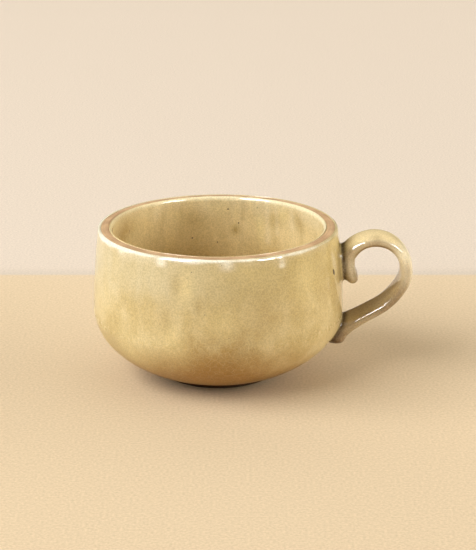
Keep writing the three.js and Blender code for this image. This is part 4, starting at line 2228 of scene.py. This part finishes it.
@dataclass(frozen=True)
class Studio:
    """Floor, lamps, world and camera."""

    target: Point = (-5.744 * MM, 0.0, 37.99 * MM)
    distance: float = 0.7
    pitch: float = math.radians(17.74)
    lens: float = 120.1
    sensor: float = 36.0
    clip_end: float = 50.0
    floor_half: float = 5.0
    world_strength: float = 0.0
    lamps: tuple[SoftLight, ...] = (
        SoftLight("window", 203.0, 38.0, 2.8, 1.9, 105.0, shines=False),
        SoftLight("right_fill", 0.0, 17.0, 4.0, 1.2, 91.0, shines=False, tint=(1.0, 0.97, 0.91)),
        SoftLight("back_fill", 90.0, 30.0, 5.0, 2.4, 56.0, shines=False, tint=(1.0, 0.96, 0.88)),
        SoftLight("top_fill", 0.0, 89.0, 5.0, 5.0, 21.0, tint=(1.0, 0.87, 0.68)),
        SoftLight("left_gleam", 222.0, 42.0, 1.3, 1.2, 210.0, fills=False),
        SoftLight("right_gleam", 325.0, 32.0, 1.1, 0.9, 100.0, fills=False),
    )

    def build(self, paper: Material) -> None:
        """Set up the studio round the cup.

        Args:
            paper: the floor's finish.
        """
        scene = bpy.context.scene
        scene.view_settings.view_transform = "Standard"
        aim = Vector(self.target)
        lens = bpy.data.cameras.new("camera")
        lens.lens, lens.sensor_width = self.lens, self.sensor
        lens.clip_end = self.clip_end
        camera = placed("camera", lens)
        back = Vector((0.0, -math.cos(self.pitch), math.sin(self.pitch)))
        camera.location = aim + back * self.distance
        camera.rotation_euler = (math.pi / 2 - self.pitch, 0.0, 0.0)
        scene.camera = camera
        for lamp in self.lamps:
            lamp.build(aim)
        world = bpy.data.worlds.new("studio")
        world.use_nodes = True
        world.node_tree.nodes["Background"].inputs["Strength"].default_value = self.world_strength
        scene.world = world
        half = self.floor_half
        mesh = bpy.data.meshes.new("floor")
        corners = [(-half, -half, 0.0), (half, -half, 0.0), (half, half, 0.0), (-half, half, 0.0)]
        mesh.from_pydata(corners, [], [(0, 1, 2, 3)])
        mesh.materials.append(paper)
        floor = placed("floor", mesh)


JOINING_SLIP = FleckedFinish(
    name="joining_slip",
    dark=(0.24, 0.13, 0.07),
    light=(0.33, 0.19, 0.1),
    fleck_size=2.5 * MM,
    fleck_detail=3,
    fleck_depth=0.1 * MM,
    flecks=None,
    roughness=Uneven(0.7, 0.2),
    constants=(("Specular_IOR_Level", 0.3),),
)

IRON_SPOT = FleckedFinish(
    name="iron_specks",
    dark=(0.035, 0.024, 0.014),
    light=(0.16, 0.09, 0.035),
    fleck_size=0.35 * MM,
    fleck_detail=2,
    fleck_depth=0.02 * MM,
    flecks=Band(0.4, 0.65),
    roughness=Uneven(0.25, 0.3),
    constants=(("IOR", 1.5),),
)

OUTER_SPECKS = (
    ChosenSpeck(-22.8, 44.9 * MM, 0.75 * MM, 1.35 * MM),
    ChosenSpeck(-87.8, 56.0 * MM, 0.16 * MM, 0.16 * MM),
    ChosenSpeck(-95.5, 38.0 * MM, 0.15 * MM, 0.15 * MM),
    ChosenSpeck(-80.8, 20.7 * MM, 0.14 * MM, 0.14 * MM),
    ChosenSpeck(-176.2, 11.0 * MM, 0.2 * MM, 0.3 * MM),
)

INNER_SPECKS = (
    ChosenSpeck(79.2, 47.0 * MM, 0.34 * MM, 0.34 * MM),
    ChosenSpeck(105.2, 40.8 * MM, 0.3 * MM, 0.34 * MM),
    ChosenSpeck(91.0, 38.6 * MM, 0.28 * MM, 0.28 * MM),
    ChosenSpeck(85.0, 52.8 * MM, 0.28 * MM, 0.4 * MM),
    ChosenSpeck(68.0, 54.1 * MM, 0.2 * MM, 0.2 * MM),
    ChosenSpeck(148.8, 49.3 * MM, 0.2 * MM, 0.3 * MM),
)

OUTER_DRIPS = (
    Drip(-116.0, 1.8 * MM, 3.3 * MM, 0.24 * MM),
    Drip(-85.5, 2.4 * MM, 3.2 * MM, 0.2 * MM),
    Drip(-59.3, 1.15 * MM, 4.6 * MM, 0.26 * MM),
    Drip(-140.0, 1.8 * MM, 2.0 * MM, 0.14 * MM),
    Drip(35.0, 1.6 * MM, 3.4 * MM, 0.18 * MM),
    Drip(110.0, 1.4 * MM, 3.4 * MM, 0.2 * MM),
    Drip(158.0, 1.7 * MM, 4.0 * MM, 0.18 * MM),
)

CROWN_STAIN = patch(59.6, -5.6, 53.8, 2.1, 0.4)

OUTER_PATCHES = {
    # Painted light on the handle where the light falls.
    "strap_painted_light": (
        patch(69, -7, 47, 4.5, 0.95),
        patch(50.3, -6.5, 43.5, 3.4, 0.52, 1.3),
        patch(69, 7, 48, 4.5, 0.7),
        patch(71, -5, 39.5, 4.0, 0.4),
    ),
    "paler": (
        patch(-11.3, -45.1, 46.8, 2.8, 0.74, 2.0),
        patch(2.3, -46.8, 34.2, 6.5, 0.54, 0.8),
        patch(-16.6, -43.8, 28.3, 3.5, 0.68, 1.6),
        patch(31.3, -33.9, 46.9, 5.0, 0.54, 1.8),
        patch(11.3, -44.5, 53, 5.0, 0.34),
        patch(-30, -32, 17, 9.0, 0.51, 0.8),
        patch(-13, -43.5, 21, 6.0, 0.3),
        patch(34.5, -31.6, 36.2, 0.8, 1.0, 1.2),
        patch(20, 42, 40, 4.0, 0.68, 1.8),
        patch(-22, 41, 33, 5.0, 0.61, 1.4),
    ),
    "deeper_and_shade": (
        patch(8.6, -46, 25, 4.5, 0.41, 1.6),
        patch(-14.9, -44, 48.3, 2.2, 0.38, 2.2),
        patch(-18.4, -42.7, 34.6, 3.0, 0.48, 2.2),
        patch(-6.6, -46.2, 40.8, 1.6, 0.45, 2.0),
        patch(16.6, -43.6, 35, 8.0, 0.34, 1.3),
        patch(-0.9, -46.8, 28, 3.0, 0.41),
        patch(-38, -26, 21, 4.0, 0.34),
        patch(26, 39, 24, 5.0, 0.54, 1.5),
    ),
}

INNER_PATCHES = {
    "paler": (
        patch(16.7, 38, 47, 2.0, 1.0, 3.2),
        patch(25.6, 32.6, 53.5, 3.6, 1.0),
        patch(-17, 37.9, 50.7, 1.5, 1.0, 1.5),
        patch(-1, 41, 54, 6.0, 1.0, 0.6),
        patch(-25, -33, 46, 2.5, 0.68, 2.4),
    ),
    "deeper_and_shade": (
        patch(32.2, 26.2, 51, 4.0, 0.54),
        patch(-11, 40, 48.5, 6.0, 0.46, 0.7),
        patch(22.3, 35, 49.7, 3.6, 0.54),
        patch(6.5, 41, 44, 1.8, 0.81, 1.3),
        # Painted shade: the inner left wall darker, where it faces away from the light.
        patch(-37.5, 16, 52, 9.0, 1.0),
    ),
}

INNER_DRIPS = (
    Drip(62.0, 1.3 * MM, 19.0 * MM, 0.05 * MM),
    Drip(56.0, 0.9 * MM, 15.0 * MM, 0.04 * MM),
    Drip(45.0, 1.8 * MM, 11.0 * MM, 0.05 * MM),
    Drip(98.0, 1.6 * MM, 6.0 * MM, 0.04 * MM),
    Drip(128.0, 2.0 * MM, 8.0 * MM, 0.04 * MM),
    Drip(200.0, 1.5 * MM, 9.0 * MM, 0.04 * MM),
    Drip(290.0, 1.6 * MM, 12.0 * MM, 0.05 * MM),
)

OUTER_ROLL = RimRoll(
    swell=0.16 * MM,
    centre=0.65 * MM,
    spread=0.42 * MM,
    ripple=0.8,
    drips=OUTER_DRIPS,
    bead_share=0.6,
    milk_and_highlight_share=0.68,
    curtain_length=3.5 * MM,
    curtain_share=0.25,
    heavy_and_lit_turn=205.0,
    heavy_and_lit_share=0.5,
)

INNER_ROLL = RimRoll(
    swell=0.08 * MM,
    centre=0.5 * MM,
    spread=0.45 * MM,
    ripple=0.35,
    drips=INNER_DRIPS,
    bead_share=0.1,
    milk_and_highlight_share=0.38,
    curtain_length=9 * MM,
    curtain_share=0.55,
    heavy_and_lit_turn=20.0,
    heavy_and_lit_share=0.45,
)


def dress_hidden_solids(clay: Material, slip: Material) -> None:
    """Give the solids that stay under the coat their finishes.

    Args:
        clay: the bare clay.
        slip: the joining slip.
    """
    finishes = {"handle": clay, "upper_slip_joint": slip, "lower_slip_joint": slip}
    for node, finish in finishes.items():
        for material_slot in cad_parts[node].material_slots:
            material_slot.material = finish
        log.info("%s: kept under the coat", node)


def main() -> None:
    """Build the cup's pieces in order, then the studio."""
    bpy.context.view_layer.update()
    low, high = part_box("bowl")
    form = BowlForm(axis_x=(low[0] + high[0]) / 2)
    strap = StrapForm(form)
    throwing = Throwing(form.axis_x, form.height)
    clay = BareClay(form.axis_x).material()
    inner_glaze = InnerGlaze().material()
    outer_glaze = OuterGlaze(axis_x=form.axis_x, wall_radius=form.belly_radius).material()
    iron = IRON_SPOT.material()
    lathe, sweep, scatter = LatheTree(), StrapTree(), SpeckTree()

    ClayBowl(form, throwing).build(lathe, clay)
    inner = InnerCoat(form, throwing, INNER_ROLL, INNER_PATCHES).build(lathe, inner_glaze)
    coat = OuterCoat(form, strap, throwing, OUTER_ROLL, OUTER_PATCHES, CROWN_STAIN)
    outer = coat.build(lathe, sweep, outer_glaze)
    IronSpecks(form, CoatSide.OUTER, OUTER_SPECKS, density=3500.0).build(scatter, outer, iron)
    IronSpecks(form, CoatSide.INNER, INNER_SPECKS, density=5000.0).build(scatter, inner, iron)
    dress_hidden_solids(clay, JOINING_SLIP.material())
    Studio().build(StudioPaper().material())


if __name__ == "__main__":
    main()
